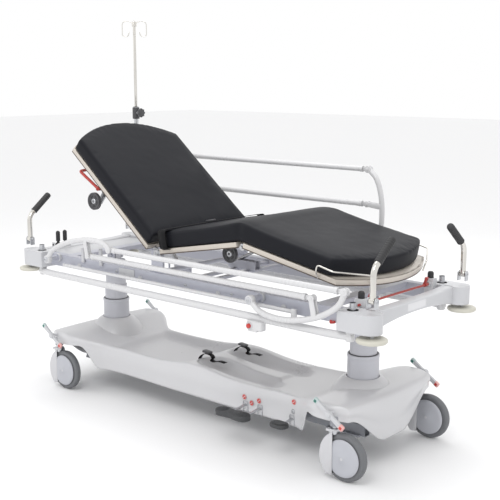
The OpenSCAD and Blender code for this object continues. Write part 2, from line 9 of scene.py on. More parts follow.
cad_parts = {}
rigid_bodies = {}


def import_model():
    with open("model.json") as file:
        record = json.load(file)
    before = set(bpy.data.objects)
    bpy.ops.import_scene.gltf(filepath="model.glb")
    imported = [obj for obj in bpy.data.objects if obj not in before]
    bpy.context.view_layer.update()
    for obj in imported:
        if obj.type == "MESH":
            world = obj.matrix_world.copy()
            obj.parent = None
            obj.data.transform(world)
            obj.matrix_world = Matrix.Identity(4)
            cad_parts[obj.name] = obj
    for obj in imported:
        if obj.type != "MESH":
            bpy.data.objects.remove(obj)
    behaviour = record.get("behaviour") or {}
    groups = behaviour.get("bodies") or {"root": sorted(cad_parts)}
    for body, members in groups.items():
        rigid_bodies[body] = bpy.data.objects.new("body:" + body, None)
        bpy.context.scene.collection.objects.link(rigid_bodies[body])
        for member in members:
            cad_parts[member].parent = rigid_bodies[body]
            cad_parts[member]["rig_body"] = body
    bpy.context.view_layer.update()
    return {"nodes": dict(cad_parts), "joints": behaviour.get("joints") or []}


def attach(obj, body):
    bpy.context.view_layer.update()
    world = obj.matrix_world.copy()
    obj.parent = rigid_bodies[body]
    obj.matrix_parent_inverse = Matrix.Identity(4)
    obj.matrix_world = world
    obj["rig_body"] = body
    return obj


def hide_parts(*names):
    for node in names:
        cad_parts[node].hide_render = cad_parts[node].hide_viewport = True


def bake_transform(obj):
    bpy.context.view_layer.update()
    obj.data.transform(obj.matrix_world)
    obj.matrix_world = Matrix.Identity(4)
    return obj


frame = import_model()

PIVOT = {j["name"]: Vector(j["pos_m"]) for j in frame["joints"] if "pos_m" in j}
X, Y, Z = Vector((1, 0, 0)), Vector((0, 1, 0)), Vector((0, 0, 1))
SIDES = (("near", -1), ("far", 1))
ENDS = (("head", -1), ("foot", 1))

# ---------- driving sizes, in metres ----------
BACK_ANGLE = math.radians(39.2)
KNEE_ANGLE = math.radians(10.4)
TRAY_H = 0.025
PAD_T = 0.075
BOW_R = 0.578
BACK_LEN = 0.797
SEAT_LEN = 0.53
LEG_LEN = 0.582
RAIL_R = 0.0125
CASTOR_X, CASTOR_Y = 0.888, 0.32
TRAIL = 0.055
WHEEL_R = 0.1
COLUMN_X = 0.8
CORNER_X, CORNER_Y = 1.071, 0.343
BUMPER_Z = 0.61


# ---------- shapes ----------

def turned(axis, degrees):
    return Matrix.Rotation(math.radians(degrees), 4, axis)


def moved(*place):
    return Matrix.Translation(Vector(place))


def along(direction):
    """Turns local +Z to a direction."""
    return Z.rotation_difference(Vector(direction)).to_matrix().to_4x4()


AT_BACK = Matrix.Translation(PIVOT["backrest"]) @ Matrix.Rotation(BACK_ANGLE, 4, "Y")
AT_SEAT = Matrix.Translation(PIVOT["seat_lift"]) @ Matrix.Rotation(-KNEE_ANGLE, 4, "Y")
AT_LEG = Matrix.Translation(PIVOT["knee"]) @ Matrix.Rotation(KNEE_ANGLE, 4, "Y")


def rounded(points, radius, steps=7):
    """A route through the points with its corners rounded off."""
    pts = [Vector(p) for p in points]
    route = [pts[0]]
    for before, here, after in zip(pts, pts[1:], pts[2:]):
        back, on = (before - here), (after - here)
        reach = min(radius, back.length * 0.48, on.length * 0.48)
        a, b = here + back.normalized() * reach, here + on.normalized() * reach
        for i in range(steps + 1):
            t = i / steps
            route.append(a * (1 - t) ** 2 + here * 2 * t * (1 - t) + b * t * t)
    route.append(pts[-1])
    return route


def edges_of(verts):
    return list({e for v in verts for e in v.link_edges})


def sweep(bm, route, radius, sides=20, squash=1.0, ease=0.0):
    """A round or flattened bar along a route, with its ends eased over."""
    route = [Vector(p) for p in route]
    if ease:
        first = (route[1] - route[0]).normalized() * ease
        last = (route[-1] - route[-2]).normalized() * ease
        route = [route[0], route[0] + first * 0.3, route[0] + first, *route[1:-1],
                 route[-1] - last, route[-1] - last * 0.3, route[-1]]
    count = len(route)
    tangents = [(route[min(i + 1, count - 1)] - route[max(i - 1, 0)]).normalized() for i in range(count)]
    turn = Z.rotation_difference(tangents[0])
    pose = Matrix.Translation(route[0]) @ turn.to_matrix().to_4x4()
    ring = bmesh.ops.create_circle(bm, cap_ends=True, radius=radius, segments=sides)["verts"]
    made = list(ring)
    bmesh.ops.scale(bm, vec=(1, squash, 1), verts=ring)
    bmesh.ops.transform(bm, matrix=pose, verts=ring)
    edges = edges_of(ring)
    width = 1.0
    shrink = {0: (radius - ease) / radius, 1: (radius - ease * 0.3) / radius}

    def fullness(i):
        if not ease:
            return 1.0
        return shrink.get(i, shrink.get(count - 1 - i, 1.0))

    if ease:
        width = fullness(0)
        bmesh.ops.scale(bm, vec=(width, width, width), verts=ring, space=Matrix.Translation(-route[0]))
    for i in range(1, count):
        turn = tangents[i - 1].rotation_difference(tangents[i]) @ turn
        new_pose = Matrix.Translation(route[i]) @ turn.to_matrix().to_4x4()
        out = bmesh.ops.extrude_edge_only(bm, edges=edges)["geom"]
        ring = [g for g in out if isinstance(g, bmesh.types.BMVert)]
        inside = set(ring)
        edges = [g for g in out if isinstance(g, bmesh.types.BMEdge) and set(g.verts) <= inside]
        grow = fullness(i) / width
        width *= grow
        size = Matrix.Diagonal((grow, grow, 1, 1))
        bmesh.ops.transform(bm, matrix=new_pose @ size @ pose.inverted(), verts=ring)
        pose = new_pose
        made += ring
    bmesh.ops.contextual_create(bm, geom=edges)
    return made


def lathe(bm, profile, matrix, steps=48):
    """Spins (radius, height) points about local Z. Ends on the axis close by themselves."""
    verts = [bm.verts.new((r, 0, h)) for r, h in profile]
    line = [bm.edges.new(pair) for pair in zip(verts, verts[1:])]
    bmesh.ops.spin(bm, geom=verts + line, cent=(0, 0, 0), axis=(0, 0, 1), angle=2 * math.pi,
                   steps=steps, use_merge=True, use_duplicate=False)
    fresh = set(verts)
    grown = True
    while grown:
        more = {e.other_vert(v) for v in fresh for e in v.link_edges} - fresh
        fresh |= more
        grown = bool(more)
    ring = list(fresh)
    bmesh.ops.transform(bm, matrix=matrix, verts=ring)
    bmesh.ops.remove_doubles(bm, verts=ring, dist=1e-6)
    return [v for v in ring if v.is_valid]


def disc_on(bm, place, axis, radius, thick, ease=0.0015, steps=40):
    """A round plate or boss with eased rims, centred on a place."""
    h = thick / 2
    profile = [(0, -h), (radius - ease, -h), (radius - ease * 0.3, -h + ease * 0.3), (radius, -h + ease),
               (radius, h - ease), (radius - ease * 0.3, h - ease * 0.3), (radius - ease, h), (0, h)]
    return lathe(bm, profile, moved(*place) @ along(axis), steps)


def bolt(bm, place, axis, radius):
    """A button-head socket screw standing on a surface."""
    head = radius * 0.55
    profile = [(0, head * 0.35), (radius * 0.45, head * 0.35), (radius * 0.5, head), (radius * 0.75, head * 0.9),
               (radius * 0.95, head * 0.5), (radius, 0)]
    return lathe(bm, profile, moved(*place) @ along(axis), 16)


def ease_edges(bm, verts, width, segments=3):
    bmesh.ops.bevel(bm, geom=edges_of(verts), offset=width, segments=segments, profile=0.5,
                    affect="EDGES", material=-1, clamp_overlap=True)


def block(bm, lo, hi, ease=0.002, matrix=None, segments=3):
    """A box between two corners with eased edges."""
    lo, hi = Vector(lo), Vector(hi)
    size = hi - lo
    shape = Matrix.Translation((lo + hi) / 2) @ Matrix.Diagonal((*size, 1))
    verts = bmesh.ops.create_cube(bm, size=1, matrix=(matrix or Matrix()) @ shape)["verts"]
    ease_edges(bm, verts, min(ease, min(size) * 0.45), segments)
    return verts


def plate(bm, outline, z0, z1, ease=0.002, matrix=None, segments=3):
    """An outline in XY given a height from z0 to z1, with eased rims."""
    verts = [bm.verts.new((x, y, z0)) for x, y in outline]
    face = bm.faces.new(verts)
    out = bmesh.ops.extrude_face_region(bm, geom=[face])["geom"]
    top = [g for g in out if isinstance(g, bmesh.types.BMVert)]
    bmesh.ops.translate(bm, vec=(0, 0, z1 - z0), verts=top)
    bmesh.ops.transform(bm, matrix=matrix or Matrix(), verts=verts + top)
    flat = [e for e in edges_of(verts + top) if e.calc_face_angle(0) > 0.6]
    if ease:
        bmesh.ops.bevel(bm, geom=flat, offset=ease, segments=segments, profile=0.5,
                        affect="EDGES", material=-1, clamp_overlap=True)
    return verts


def arc(cx, cy, radius, start, end, steps=12):
    """Points of an arc in degrees, both ends included."""
    turns = [math.radians(start + (end - start) * i / steps) for i in range(steps + 1)]
    return [(cx + radius * math.cos(a), cy + radius * math.sin(a)) for a in turns]


def piece(name, bm, body, material, stands_for=(), crease=32):
    """Finishes a bmesh into a piece that rides on a body."""
    bmesh.ops.recalc_face_normals(bm, faces=bm.faces)
    limit = math.radians(crease)
    for face in bm.faces:
        face.smooth = True
    for edge in bm.edges:
        edge.smooth = edge.calc_face_angle(0) < limit
    mesh = bpy.data.meshes.new(name)
    bm.to_mesh(mesh)
    bm.free()
    obj = bpy.data.objects.new(name, mesh)
    bpy.context.scene.collection.objects.link(obj)
    mesh.materials.append(material)
    if body:
        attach(obj, body)
    if stands_for:
        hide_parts(*stands_for)
    return obj


def eased(node, material, width=0.0015, segments=2):
    """A copy of a CAD node with its edges eased, standing for that node."""
    source = frame["nodes"][node]
    bm = bmesh.new()
    bm.from_mesh(source.data)
    bmesh.ops.remove_doubles(bm, verts=bm.verts, dist=1e-5)
    bmesh.ops.dissolve_limit(bm, angle_limit=math.radians(1), verts=bm.verts, edges=bm.edges)
    obj = piece(node + "_eased", bm, source["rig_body"], material, [node])
    bevel = obj.modifiers.new("ease", "BEVEL")
    bevel.width = width
    bevel.segments = segments
    bevel.limit_method = "ANGLE"
    bevel.angle_limit = math.radians(40)
    bevel.use_clamp_overlap = True
    bevel.harden_normals = True
    return obj


# ---------- finishes ----------

def socket(name, kind, default=None):
    return (name, "NodeSocket" + kind, default)


def node_group(name, inputs, outputs, fill):
    """Builds a shader node group once; fill wires its inside."""
    made = bpy.data.node_groups.new(name, "ShaderNodeTree")
    for label, kind, default in inputs:
        entry = made.interface.new_socket(label, in_out="INPUT", socket_type=kind)
        if default is not None:
            entry.default_value = default
    for label, kind, _ in outputs:
        made.interface.new_socket(label, in_out="OUTPUT", socket_type=kind)
    start, end = made.nodes.new("NodeGroupInput"), made.nodes.new("NodeGroupOutput")
    fill(made, start.outputs, end.inputs)
    return made


def add_node(tree, kind, links=(), **values):
    """Adds a node, sets its properties, and joins or sets its inputs."""
    node = tree.nodes.new("ShaderNode" + kind)
    for key, value in values.items():
        setattr(node, key, value)
    for label, source in dict(links).items():
        target = node.inputs[label]
        if isinstance(source, bpy.types.NodeSocket):
            tree.links.new(source, target)
        else:
            target.default_value = source
    return node


def maths(tree, operation, a, b=0.0):
    return add_node(tree, "Math", {0: a, 1: b}, operation=operation).outputs[0]


def drift_inside(tree, given, out):
    """Slow change of tone, as on moulded or sprayed parts, with faint settled dust."""
    broad = add_node(tree, "TexNoise", {"Vector": given["Vector"], "Scale": given["Scale"], "Detail": 3.0})
    fine = add_node(tree, "TexNoise", {"Vector": given["Vector"], "Scale": 90.0, "Detail": 4.0})
    centred = maths(tree, "SUBTRACT", broad.outputs[0], 0.5)
    speck = maths(tree, "MULTIPLY", maths(tree, "SUBTRACT", fine.outputs[0], 0.5), 0.4)
    change = maths(tree, "MULTIPLY", maths(tree, "ADD", centred, speck), given["Amount"])
    value = maths(tree, "ADD", change, 1.0)
    tone = add_node(tree, "HueSaturation", {"Color": given["Colour"], "Value": value})
    tree.links.new(tone.outputs[0], out["Colour"])
    spread = maths(tree, "MULTIPLY", maths(tree, "ADD", centred, speck), given["Rough drift"])
    tree.links.new(maths(tree, "ADD", given["Roughness"], spread), out["Roughness"])


def scuff_inside(tree, given, out):
    """Thin rubs and light scratches in patches."""
    stretched = add_node(tree, "Mapping", {"Vector": given["Vector"], "Scale": (1.0, 1.0, 9.0)})
    lines = add_node(tree, "TexNoise", {"Vector": stretched.outputs[0], "Scale": given["Scale"], "Detail": 6.0,
                                        "Roughness": 0.7})
    patch = add_node(tree, "TexNoise", {"Vector": given["Vector"], "Scale": 7.0, "Detail": 2.0})
    sharp = add_node(tree, "MapRange", {"Value": lines.outputs[0], "From Min": 0.60, "From Max": 0.72})
    where = add_node(tree, "MapRange", {"Value": patch.outputs[0], "From Min": 0.52, "From Max": 0.68})
    mask = maths(tree, "MULTIPLY", sharp.outputs[0], where.outputs[0])
    mask = maths(tree, "MULTIPLY", mask, given["Amount"])
    mixed = add_node(tree, "Mix", {0: mask, 6: given["Colour"], 7: given["Rubbed colour"]}, data_type="RGBA")
    tree.links.new(mixed.outputs[2], out["Colour"])
    tree.links.new(maths(tree, "ADD", given["Roughness"], maths(tree, "MULTIPLY", mask, 0.25)), out["Roughness"])


def grain_inside(tree, given, out):
    """Fine orange peel or moulded texture, as a height."""
    cells = add_node(tree, "TexVoronoi", {"Vector": given["Vector"], "Scale": given["Scale"]},
                     feature="SMOOTH_F1")
    soft = add_node(tree, "TexNoise", {"Vector": given["Vector"], "Scale": given["Scale"], "Detail": 3.0})
    tree.links.new(maths(tree, "ADD", maths(tree, "MULTIPLY", cells.outputs[0], 0.6), soft.outputs[0]),
                   out["Height"])


def brushed_inside(tree, given, out):
    """Long fine lines of a drawn or brushed metal, as a height."""
    drawn = add_node(tree, "Mapping", {"Vector": given["Vector"], "Scale": given["Stretch"]})
    lines = add_node(tree, "TexNoise", {"Vector": drawn.outputs[0], "Scale": given["Scale"], "Detail": 5.0})
    tree.links.new(lines.outputs[0], out["Height"])


def cloth_inside(tree, given, out):
    """Close plain weave under a polyurethane coat, with slow puckers."""
    split = add_node(tree, "SeparateXYZ", {0: given["Vector"]})
    warp = maths(tree, "SINE", maths(tree, "MULTIPLY", split.outputs[0], given["Threads"]))
    weft = maths(tree, "SINE", maths(tree, "MULTIPLY", split.outputs[1], given["Threads"]))
    rise = maths(tree, "SINE", maths(tree, "MULTIPLY", split.outputs[2], given["Threads"]))
    weave = maths(tree, "ADD", maths(tree, "MULTIPLY", warp, weft), maths(tree, "MULTIPLY", rise, warp))
    pucker = add_node(tree, "TexNoise", {"Vector": given["Vector"], "Scale": 14.0, "Detail": 4.0})
    height = maths(tree, "ADD", maths(tree, "MULTIPLY", weave, 0.12),
                   maths(tree, "MULTIPLY", pucker.outputs[0], given["Pucker"]))
    tree.links.new(height, out["Height"])


VECTOR = socket("Vector", "Vector")
COLOUR = socket("Colour", "Color", (0.8, 0.8, 0.8, 1))
ROUGH = socket("Roughness", "Float", 0.4)
HEIGHT = socket("Height", "Float")
SCALE = socket("Scale", "Float", 5.0)
AMOUNT = socket("Amount", "Float", 0.1)
DRIFT = node_group("tone drift", [VECTOR, COLOUR, ROUGH, SCALE, AMOUNT, socket("Rough drift", "Float", 0.1)],
                   [COLOUR, ROUGH], drift_inside)
SCUFF = node_group("rubs", [VECTOR, COLOUR, ROUGH, SCALE, AMOUNT,
                            socket("Rubbed colour", "Color", (0.5, 0.5, 0.5, 1))], [COLOUR, ROUGH], scuff_inside)
GRAIN = node_group("grain", [VECTOR, SCALE], [HEIGHT], grain_inside)
BRUSHED = node_group("drawn lines", [VECTOR, SCALE, socket("Stretch", "Vector", (1, 1, 0.02))], [HEIGHT],
                     brushed_inside)
CLOTH = node_group("coated weave", [VECTOR, socket("Threads", "Float", 3000.0), socket("Pucker", "Float", 0.5)],
                   [HEIGHT], cloth_inside)


def finish(name, colour, rough, metal=0.0, drift=0.05, rubs=0.0, rubbed=(0.45, 0.45, 0.46),
           relief=GRAIN, relief_scale=900.0, relief_depth=0.00004, stretch=None, **shader):
    """A finish: toned colour, rubs, relief, with the shader's own constants by socket name."""
    material = bpy.data.materials.new(name)
    material.use_nodes = True
    tree = material.node_tree
    bsdf = tree.nodes["Principled BSDF"]
    place = add_node(tree, "TexCoord").outputs["Object"]
    tone = tree.nodes.new("ShaderNodeGroup")
    tone.node_tree = DRIFT
    for label, value in {"Colour": (*colour, 1), "Roughness": rough, "Scale": 3.5, "Amount": drift,
                         "Rough drift": 0.12}.items():
        tone.inputs[label].default_value = value
    tree.links.new(place, tone.inputs["Vector"])
    colour_out, rough_out = tone.outputs["Colour"], tone.outputs["Roughness"]
    if rubs:
        worn = tree.nodes.new("ShaderNodeGroup")
        worn.node_tree = SCUFF
        worn.inputs["Scale"].default_value = 30.0
        worn.inputs["Amount"].default_value = rubs
        worn.inputs["Rubbed colour"].default_value = (*rubbed, 1)
        tree.links.new(place, worn.inputs["Vector"])
        tree.links.new(colour_out, worn.inputs["Colour"])
        tree.links.new(rough_out, worn.inputs["Roughness"])
        colour_out, rough_out = worn.outputs["Colour"], worn.outputs["Roughness"]
    tree.links.new(colour_out, bsdf.inputs["Base Color"])
    tree.links.new(rough_out, bsdf.inputs["Roughness"])
    surface = tree.nodes.new("ShaderNodeGroup")
    surface.node_tree = relief
    tree.links.new(place, surface.inputs["Vector"])
    if "Scale" in surface.inputs:
        surface.inputs["Scale"].default_value = relief_scale
    if stretch:
        surface.inputs["Stretch"].default_value = stretch
    bump = add_node(tree, "Bump", {"Height": surface.outputs[0], "Strength": 1.0, "Distance": relief_depth})
    tree.links.new(bump.outputs[0], bsdf.inputs["Normal"])
    bsdf.inputs["Metallic"].default_value = metal
    for label, value in shader.items():
        bsdf.inputs[label.replace("_", " ")].default_value = value
    return material


COVER_WHITE = finish("cover white", (0.60, 0.60, 0.615), 0.30, rubs=0.3, rubbed=(0.62, 0.62, 0.64),
                     relief_scale=260, relief_depth=0.00005, Coat_Weight=0.25, Coat_Roughness=0.15)
CASTING_WHITE = finish("casting white", (0.56, 0.565, 0.585), 0.38, rubs=0.3, rubbed=(0.6, 0.6, 0.62),
                       relief_scale=1400, relief_depth=0.00006)
RAIL_WHITE = finish("rail white", (0.64, 0.64, 0.65), 0.28, rubs=0.45, rubbed=(0.55, 0.55, 0.57),
                    relief_scale=700, relief_depth=0.00004, Coat_Weight=0.2, Coat_Roughness=0.12)
FRAME_GREY = finish("frame lavender grey", (0.47, 0.48, 0.545), 0.36, rubs=0.35, rubbed=(0.45, 0.45, 0.5),
                    relief_scale=800, relief_depth=0.00005)
COLUMN_GREY = finish("column grey", (0.52, 0.525, 0.565), 0.34, rubs=0.25, rubbed=(0.52, 0.52, 0.56),
                     relief_scale=800, relief_depth=0.00004)
CHASSIS_GREY = finish("chassis grey", (0.30, 0.31, 0.34), 0.5, drift=0.2, rubs=0.5,
                      relief_scale=600, relief_depth=0.00008)
CHROME = finish("chrome plate", (0.70, 0.68, 0.64), 0.12, 1.0, drift=0.08, relief=BRUSHED, relief_scale=220,
                relief_depth=0.000004, stretch=(1, 1, 0.05))
STEEL = finish("brushed steel", (0.56, 0.57, 0.59), 0.32, 1.0, drift=0.15, relief=BRUSHED, relief_scale=500,
               relief_depth=0.00001, stretch=(0.04, 1, 1))
TRAY_ALLOY = finish("tray champagne", (0.60, 0.55, 0.49), 0.33, 0.25, drift=0.08, rubs=0.4,
                    rubbed=(0.5, 0.48, 0.45), relief=BRUSHED, relief_scale=300, relief_depth=0.00001,
                    stretch=(0.05, 1, 1))
TRAY_EDGE = finish("tray lower edge", (0.10, 0.075, 0.06), 0.5, 0.2, relief_scale=500, relief_depth=0.00004)
TYRE = finish("tyre grey", (0.155, 0.16, 0.17), 0.62, drift=0.25, rubs=0.8, rubbed=(0.28, 0.28, 0.28),
              relief_scale=1100, relief_depth=0.00012)
CASTOR_DISC = finish("castor disc grey", (0.47, 0.48, 0.52), 0.42, rubs=0.5, rubbed=(0.45, 0.45, 0.48),
                     relief_scale=900, relief_depth=0.00006)
CASTOR_HOOD = finish("castor hood white", (0.58, 0.58, 0.60), 0.36, rubs=0.4, rubbed=(0.58, 0.58, 0.6),
                     relief_scale=900, relief_depth=0.00005)
CREAM = finish("buffer cream", (0.60, 0.585, 0.51), 0.5, rubs=0.7, rubbed=(0.5, 0.5, 0.46),
               relief_scale=1200, relief_depth=0.00008)
GRIP_BLACK = finish("grip black", (0.028, 0.028, 0.03), 0.6, drift=0.3, relief_scale=1500,
                    relief_depth=0.0002)
PEDAL_BLACK = finish("pedal rubber", (0.045, 0.047, 0.05), 0.5, drift=0.3, rubs=0.6, rubbed=(0.12, 0.12, 0.12),
                     relief_scale=1300, relief_depth=0.0002)
DARK_PLASTIC = finish("dark plastic", (0.06, 0.06, 0.065), 0.42, drift=0.2, relief_scale=1200,
                      relief_depth=0.00008)
RED_PAINT = finish("red paint", (0.42, 0.035, 0.025), 0.3, drift=0.1, rubs=0.4, rubbed=(0.2, 0.02, 0.02),
                   relief_scale=700, relief_depth=0.00004, Coat_Weight=0.4, Coat_Roughness=0.1)
RED_PLASTIC = finish("red plastic", (0.55, 0.05, 0.04), 0.4, drift=0.1, relief_scale=900, relief_depth=0.00004)
PALE_RED = finish("pale red surround", (0.75, 0.42, 0.40), 0.4, relief_scale=900, relief_depth=0.00003)
GREEN = finish("release green", (0.03, 0.16, 0.13), 0.4, relief_scale=900, relief_depth=0.00003)
PALE_GREEN = finish("pale green surround", (0.48, 0.58, 0.57), 0.4, relief_scale=900, relief_depth=0.00003)
LABEL = finish("label white", (0.72, 0.72, 0.74), 0.25, drift=0.03, relief_scale=300, relief_depth=0.00001)
MATTRESS = finish("coated mattress cover", (0.010, 0.0105, 0.014), 0.50, drift=0.18, relief=CLOTH,
                  relief_depth=0.00006, Specular_IOR_Level=0.14)
WEBBING = finish("strap webbing", (0.009, 0.009, 0.010), 0.6, drift=0.25, relief=CLOTH,
                 relief_depth=0.0003, Specular_IOR_Level=0.16)


# ---------- moulded base ----------

def smooth_step(low, high, value):
    t = min(1.0, max(0.0, (value - low) / (high - low)))
    return t * t * (3 - 2 * t)


def half_width(x):
    """Half width of the base along its length: a waist that flares over the castors."""
    side = abs(x)
    waist = 0.225 - 0.008 * smooth_step(0.1, 0.45, side) * (1 - smooth_step(0.5, 0.62, side))
    return waist + (0.340 - 0.225) * smooth_step(0.60, 0.815, side)


def rim_height(x):
    """Height of the upper edge along the side."""
    hump = 0.026 * math.exp(-((x - 0.0) / 0.17) ** 2)
    return 0.247 + hump + 0.052 * smooth_step(0.60, 0.84, abs(x)) + 0.008 * smooth_step(0.3, 0.6, x)


def wheel_reach(x, y):
    """Lowest height that clears a swivelling castor under a point of the base."""
    away = math.hypot(abs(x) - CASTOR_X, abs(y) - CASTOR_Y)
    hood_r = WHEEL_R + 0.012
    chord = max(0.0, away - TRAIL - 0.008)
    if chord >= hood_r:
        return 0.0
    return WHEEL_R + math.sqrt(hood_r ** 2 - chord ** 2) + 0.006


def lower_edge(x, y):
    """Height of the lower edge: long straight skirts, arches over the castors, a U at each end."""
    side, across = abs(x), abs(y)
    skirt = 0.115 + 0.125 * smooth_step(0.66, 0.735, side)
    apron = 0.104 + 0.136 * smooth_step(0.06, 0.30, across)
    level = skirt + (apron - skirt) * smooth_step(0.90, 0.945, side)
    return min(0.245, max(level, wheel_reach(x, y)))


def hollow(x, y, lo, hi, soft):
    """1 inside a rectangle with soft sides, 0 outside."""
    gap = min(x - lo[0], hi[0] - x, y - lo[1], hi[1] - y)
    return smooth_step(-soft, soft, gap)


def base_top(x, y):
    """Height of the upper surface with its tray and two bottle cradles."""
    w = half_width(x)
    dish = 0.018 * (1 - smooth_step(0.55, 0.8, abs(x))) * (1 - (abs(y) / w) ** 4)
    z = rim_height(x) - dish * (1 if x > 0.38 else 0.4)
    tray = hollow(x, y, (-0.60, -0.178), (-0.10, 0.178), 0.018)
    z += (0.214 - z) * tray
    for s in (-1, 1):
        inside = min(max(x, 0.045), 0.355)
        away = math.hypot((x - inside) * 0.72, y - s * 0.105)
        if away < 0.082:
            trough = 0.290 - math.sqrt(0.083 ** 2 - away ** 2)
            z += (min(z, trough) - z) * smooth_step(0.0822, 0.066, away)
    return z


def build_base_cover():
    cols, rows, top_share = 236, 108, 0.82
    length = 0.9655
    bm = bmesh.new()
    bmesh.ops.create_grid(bm, x_segments=cols, y_segments=rows, size=1)
    for v in bm.verts:
        u, w = v.co.x, v.co.y
        ring = max(abs(u), abs(w), 1e-6)
        stretch = 1 / max(ring, top_share)
        p, q = u * stretch, w * stretch
        bow = 0.022 * (1 - q * q) * abs(p) ** 8
        x = p * (length - 0.022) + math.copysign(bow, p)
        corner = 1 - 0.10 * max(0.0, abs(p) - 0.93) / 0.07 * abs(q) ** 10
        y = q * half_width(x) * corner
        if ring <= top_share:
            inset = (1 - ring / top_share)
            drop = 0.012 * max(0.0, 1 - inset / 0.05) ** 2
            v.co = (x, y, base_top(x, y) - drop)
        else:
            t = (ring - top_share) / (1 - top_share)
            low = lower_edge(x, y)
            high = base_top(x, y) - 0.012
            lean = 0.006 * math.sin(math.pi * min(1.0, t * 1.6))
            out = 1 + lean / max(0.2, math.hypot(x, y))
            v.co = (x * out if abs(p) > 0.98 else x, y * out, high + (low - high) * t)
    core = [v for v in bm.verts if max(abs(v.co.x) / 0.9, abs(v.co.y) / 0.3) < 1.5]
    bmesh.ops.smooth_vert(bm, verts=core, factor=0.5, use_axis_x=True, use_axis_y=True, use_axis_z=True)
    bmesh.ops.smooth_vert(bm, verts=core, factor=0.5, use_axis_x=True, use_axis_y=True, use_axis_z=True)
    for sign in (-1, 1):
        hole = [f for f in bm.faces
                if math.hypot(f.calc_center_median().x - sign * COLUMN_X, f.calc_center_median().y) < 0.105]
        bmesh.ops.delete(bm, geom=hole, context="FACES")
    obj = piece("base_cover_shell", bm, "base", COVER_WHITE, ["base_cover"], 70)
    wall = obj.modifiers.new("wall", "SOLIDIFY")
    wall.thickness = 0.004
    wall.offset = -1
    return obj


def build_column_bells():
    """Bell-shaped collars that close the base round each column."""
    profile = [(0.152, 0.238), (0.149, 0.247), (0.143, 0.256), (0.137, 0.268), (0.128, 0.284), (0.116, 0.302),
               (0.101, 0.319), (0.087, 0.330), (0.0765, 0.3355), (0.0715, 0.3365), (0.0705, 0.333), (0.0705, 0.30)]
    bm = bmesh.new()
    for x in (-COLUMN_X, COLUMN_X):
        lathe(bm, profile, moved(x, 0, 0), 72)
    obj = piece("column_bells", bm, "base", COVER_WHITE, (), 50)
    subdivide = obj.modifiers.new("soften", "SUBSURF")
    subdivide.levels = subdivide.render_levels = 1


def build_columns():
    bm = bmesh.new()
    outer = [(0.066, 0.105), (0.068, 0.107), (0.068, 0.420), (0.0695, 0.422), (0.0695, 0.4325), (0.0685, 0.435),
             (0.0597, 0.435), (0.0592, 0.430), (0.0592, 0.20)]
    for x in (-COLUMN_X, COLUMN_X):
        lathe(bm, outer, moved(x, 0, 0), 72)
    piece("column_sleeve_tubes", bm, "base", COLUMN_GREY, ["column_sleeves"])
    seal = bmesh.new()
    for x in (-COLUMN_X, COLUMN_X):
        lathe(seal, [(0.0592, 0.4352), (0.0646, 0.4352), (0.0655, 0.4362), (0.0648, 0.4378), (0.0596, 0.4378)],
              moved(x, 0, 0), 72)
    piece("column_wiper_seals", seal, "base", DARK_PLASTIC)
    bm = bmesh.new()
    for x in (-COLUMN_X, COLUMN_X):
        lathe(bm, [(0.0575, 0.242), (0.0585, 0.243), (0.0585, 0.507), (0.0575, 0.5095), (0.0540, 0.510),
                   (0.0536, 0.508), (0.0536, 0.30)], moved(x, 0, 0), 72)
    piece("column_lift_tubes", bm, "lift", COLUMN_GREY, ["lift_tubes"])
    for node in ("head_piston", "foot_piston"):
        eased(node, COLUMN_GREY, 0.001)


MARKER_PLACES = ((0.316, 0.186), (0.358, 0.166), (0.401, 0.186), (0.604, 0.234))


def build_markers():
    """Plain round red signs with a white bar, on both flanks by the pedals."""
    for name, s in SIDES:
        red, white = bmesh.new(), bmesh.new()
        for x, z in MARKER_PLACES:
            z = min(z, rim_height(x) - 0.026)
            y = s * (half_width(x) + 0.0042)
            disc_on(red, (x, y, z), (0, s, 0), 0.0122, 0.0010, 0.0003, 32)
            rim = moved(x, y + s * 0.0004, z) @ along((0, s, 0))
            lathe(white, [(0.0100, 0.0), (0.0100, 0.0008), (0.0108, 0.0008), (0.0108, 0.0)], rim, 32)
            block(white, (-0.0068, -0.0012, 0.0), (0.0068, 0.0012, 0.0010), 0.0002, rim @ turned("Z", 40), 1)
        piece("pedal_signs_" + name, red, "base", RED_PLASTIC)
        piece("pedal_sign_bars_" + name, white, "base", LABEL)


def build_base():
    build_base_cover()
    build_column_bells()
    build_columns()
    build_markers()
    eased("base_chassis", CHASSIS_GREY, 0.002)
    eased("hydraulic_pump", CHASSIS_GREY, 0.0015)
    bm = bmesh.new()
    for s in (-1, 1):
        for x, half in ((0.322, 0.011), (0.405, 0.011), (0.592, 0.011)):
            y = s * (half_width(x) + 0.002)
            block(bm, (x - half - 0.003, y - 0.003, 0.118), (x - half, y + 0.003, 0.168), 0.001)
            block(bm, (x + half, y - 0.003, 0.118), (x + half + 0.003, y + 0.003, 0.168), 0.001)
            block(bm, (x - half, y - 0.003, 0.165), (x + half, y + 0.003, 0.168), 0.001)
        bolt(bm, (0.600, s * (half_width(0.6) + 0.003), 0.186), (0, s, 0), 0.010)
    piece("pedal_slot_trims", bm, "base", STEEL)


# ---------- castors ----------

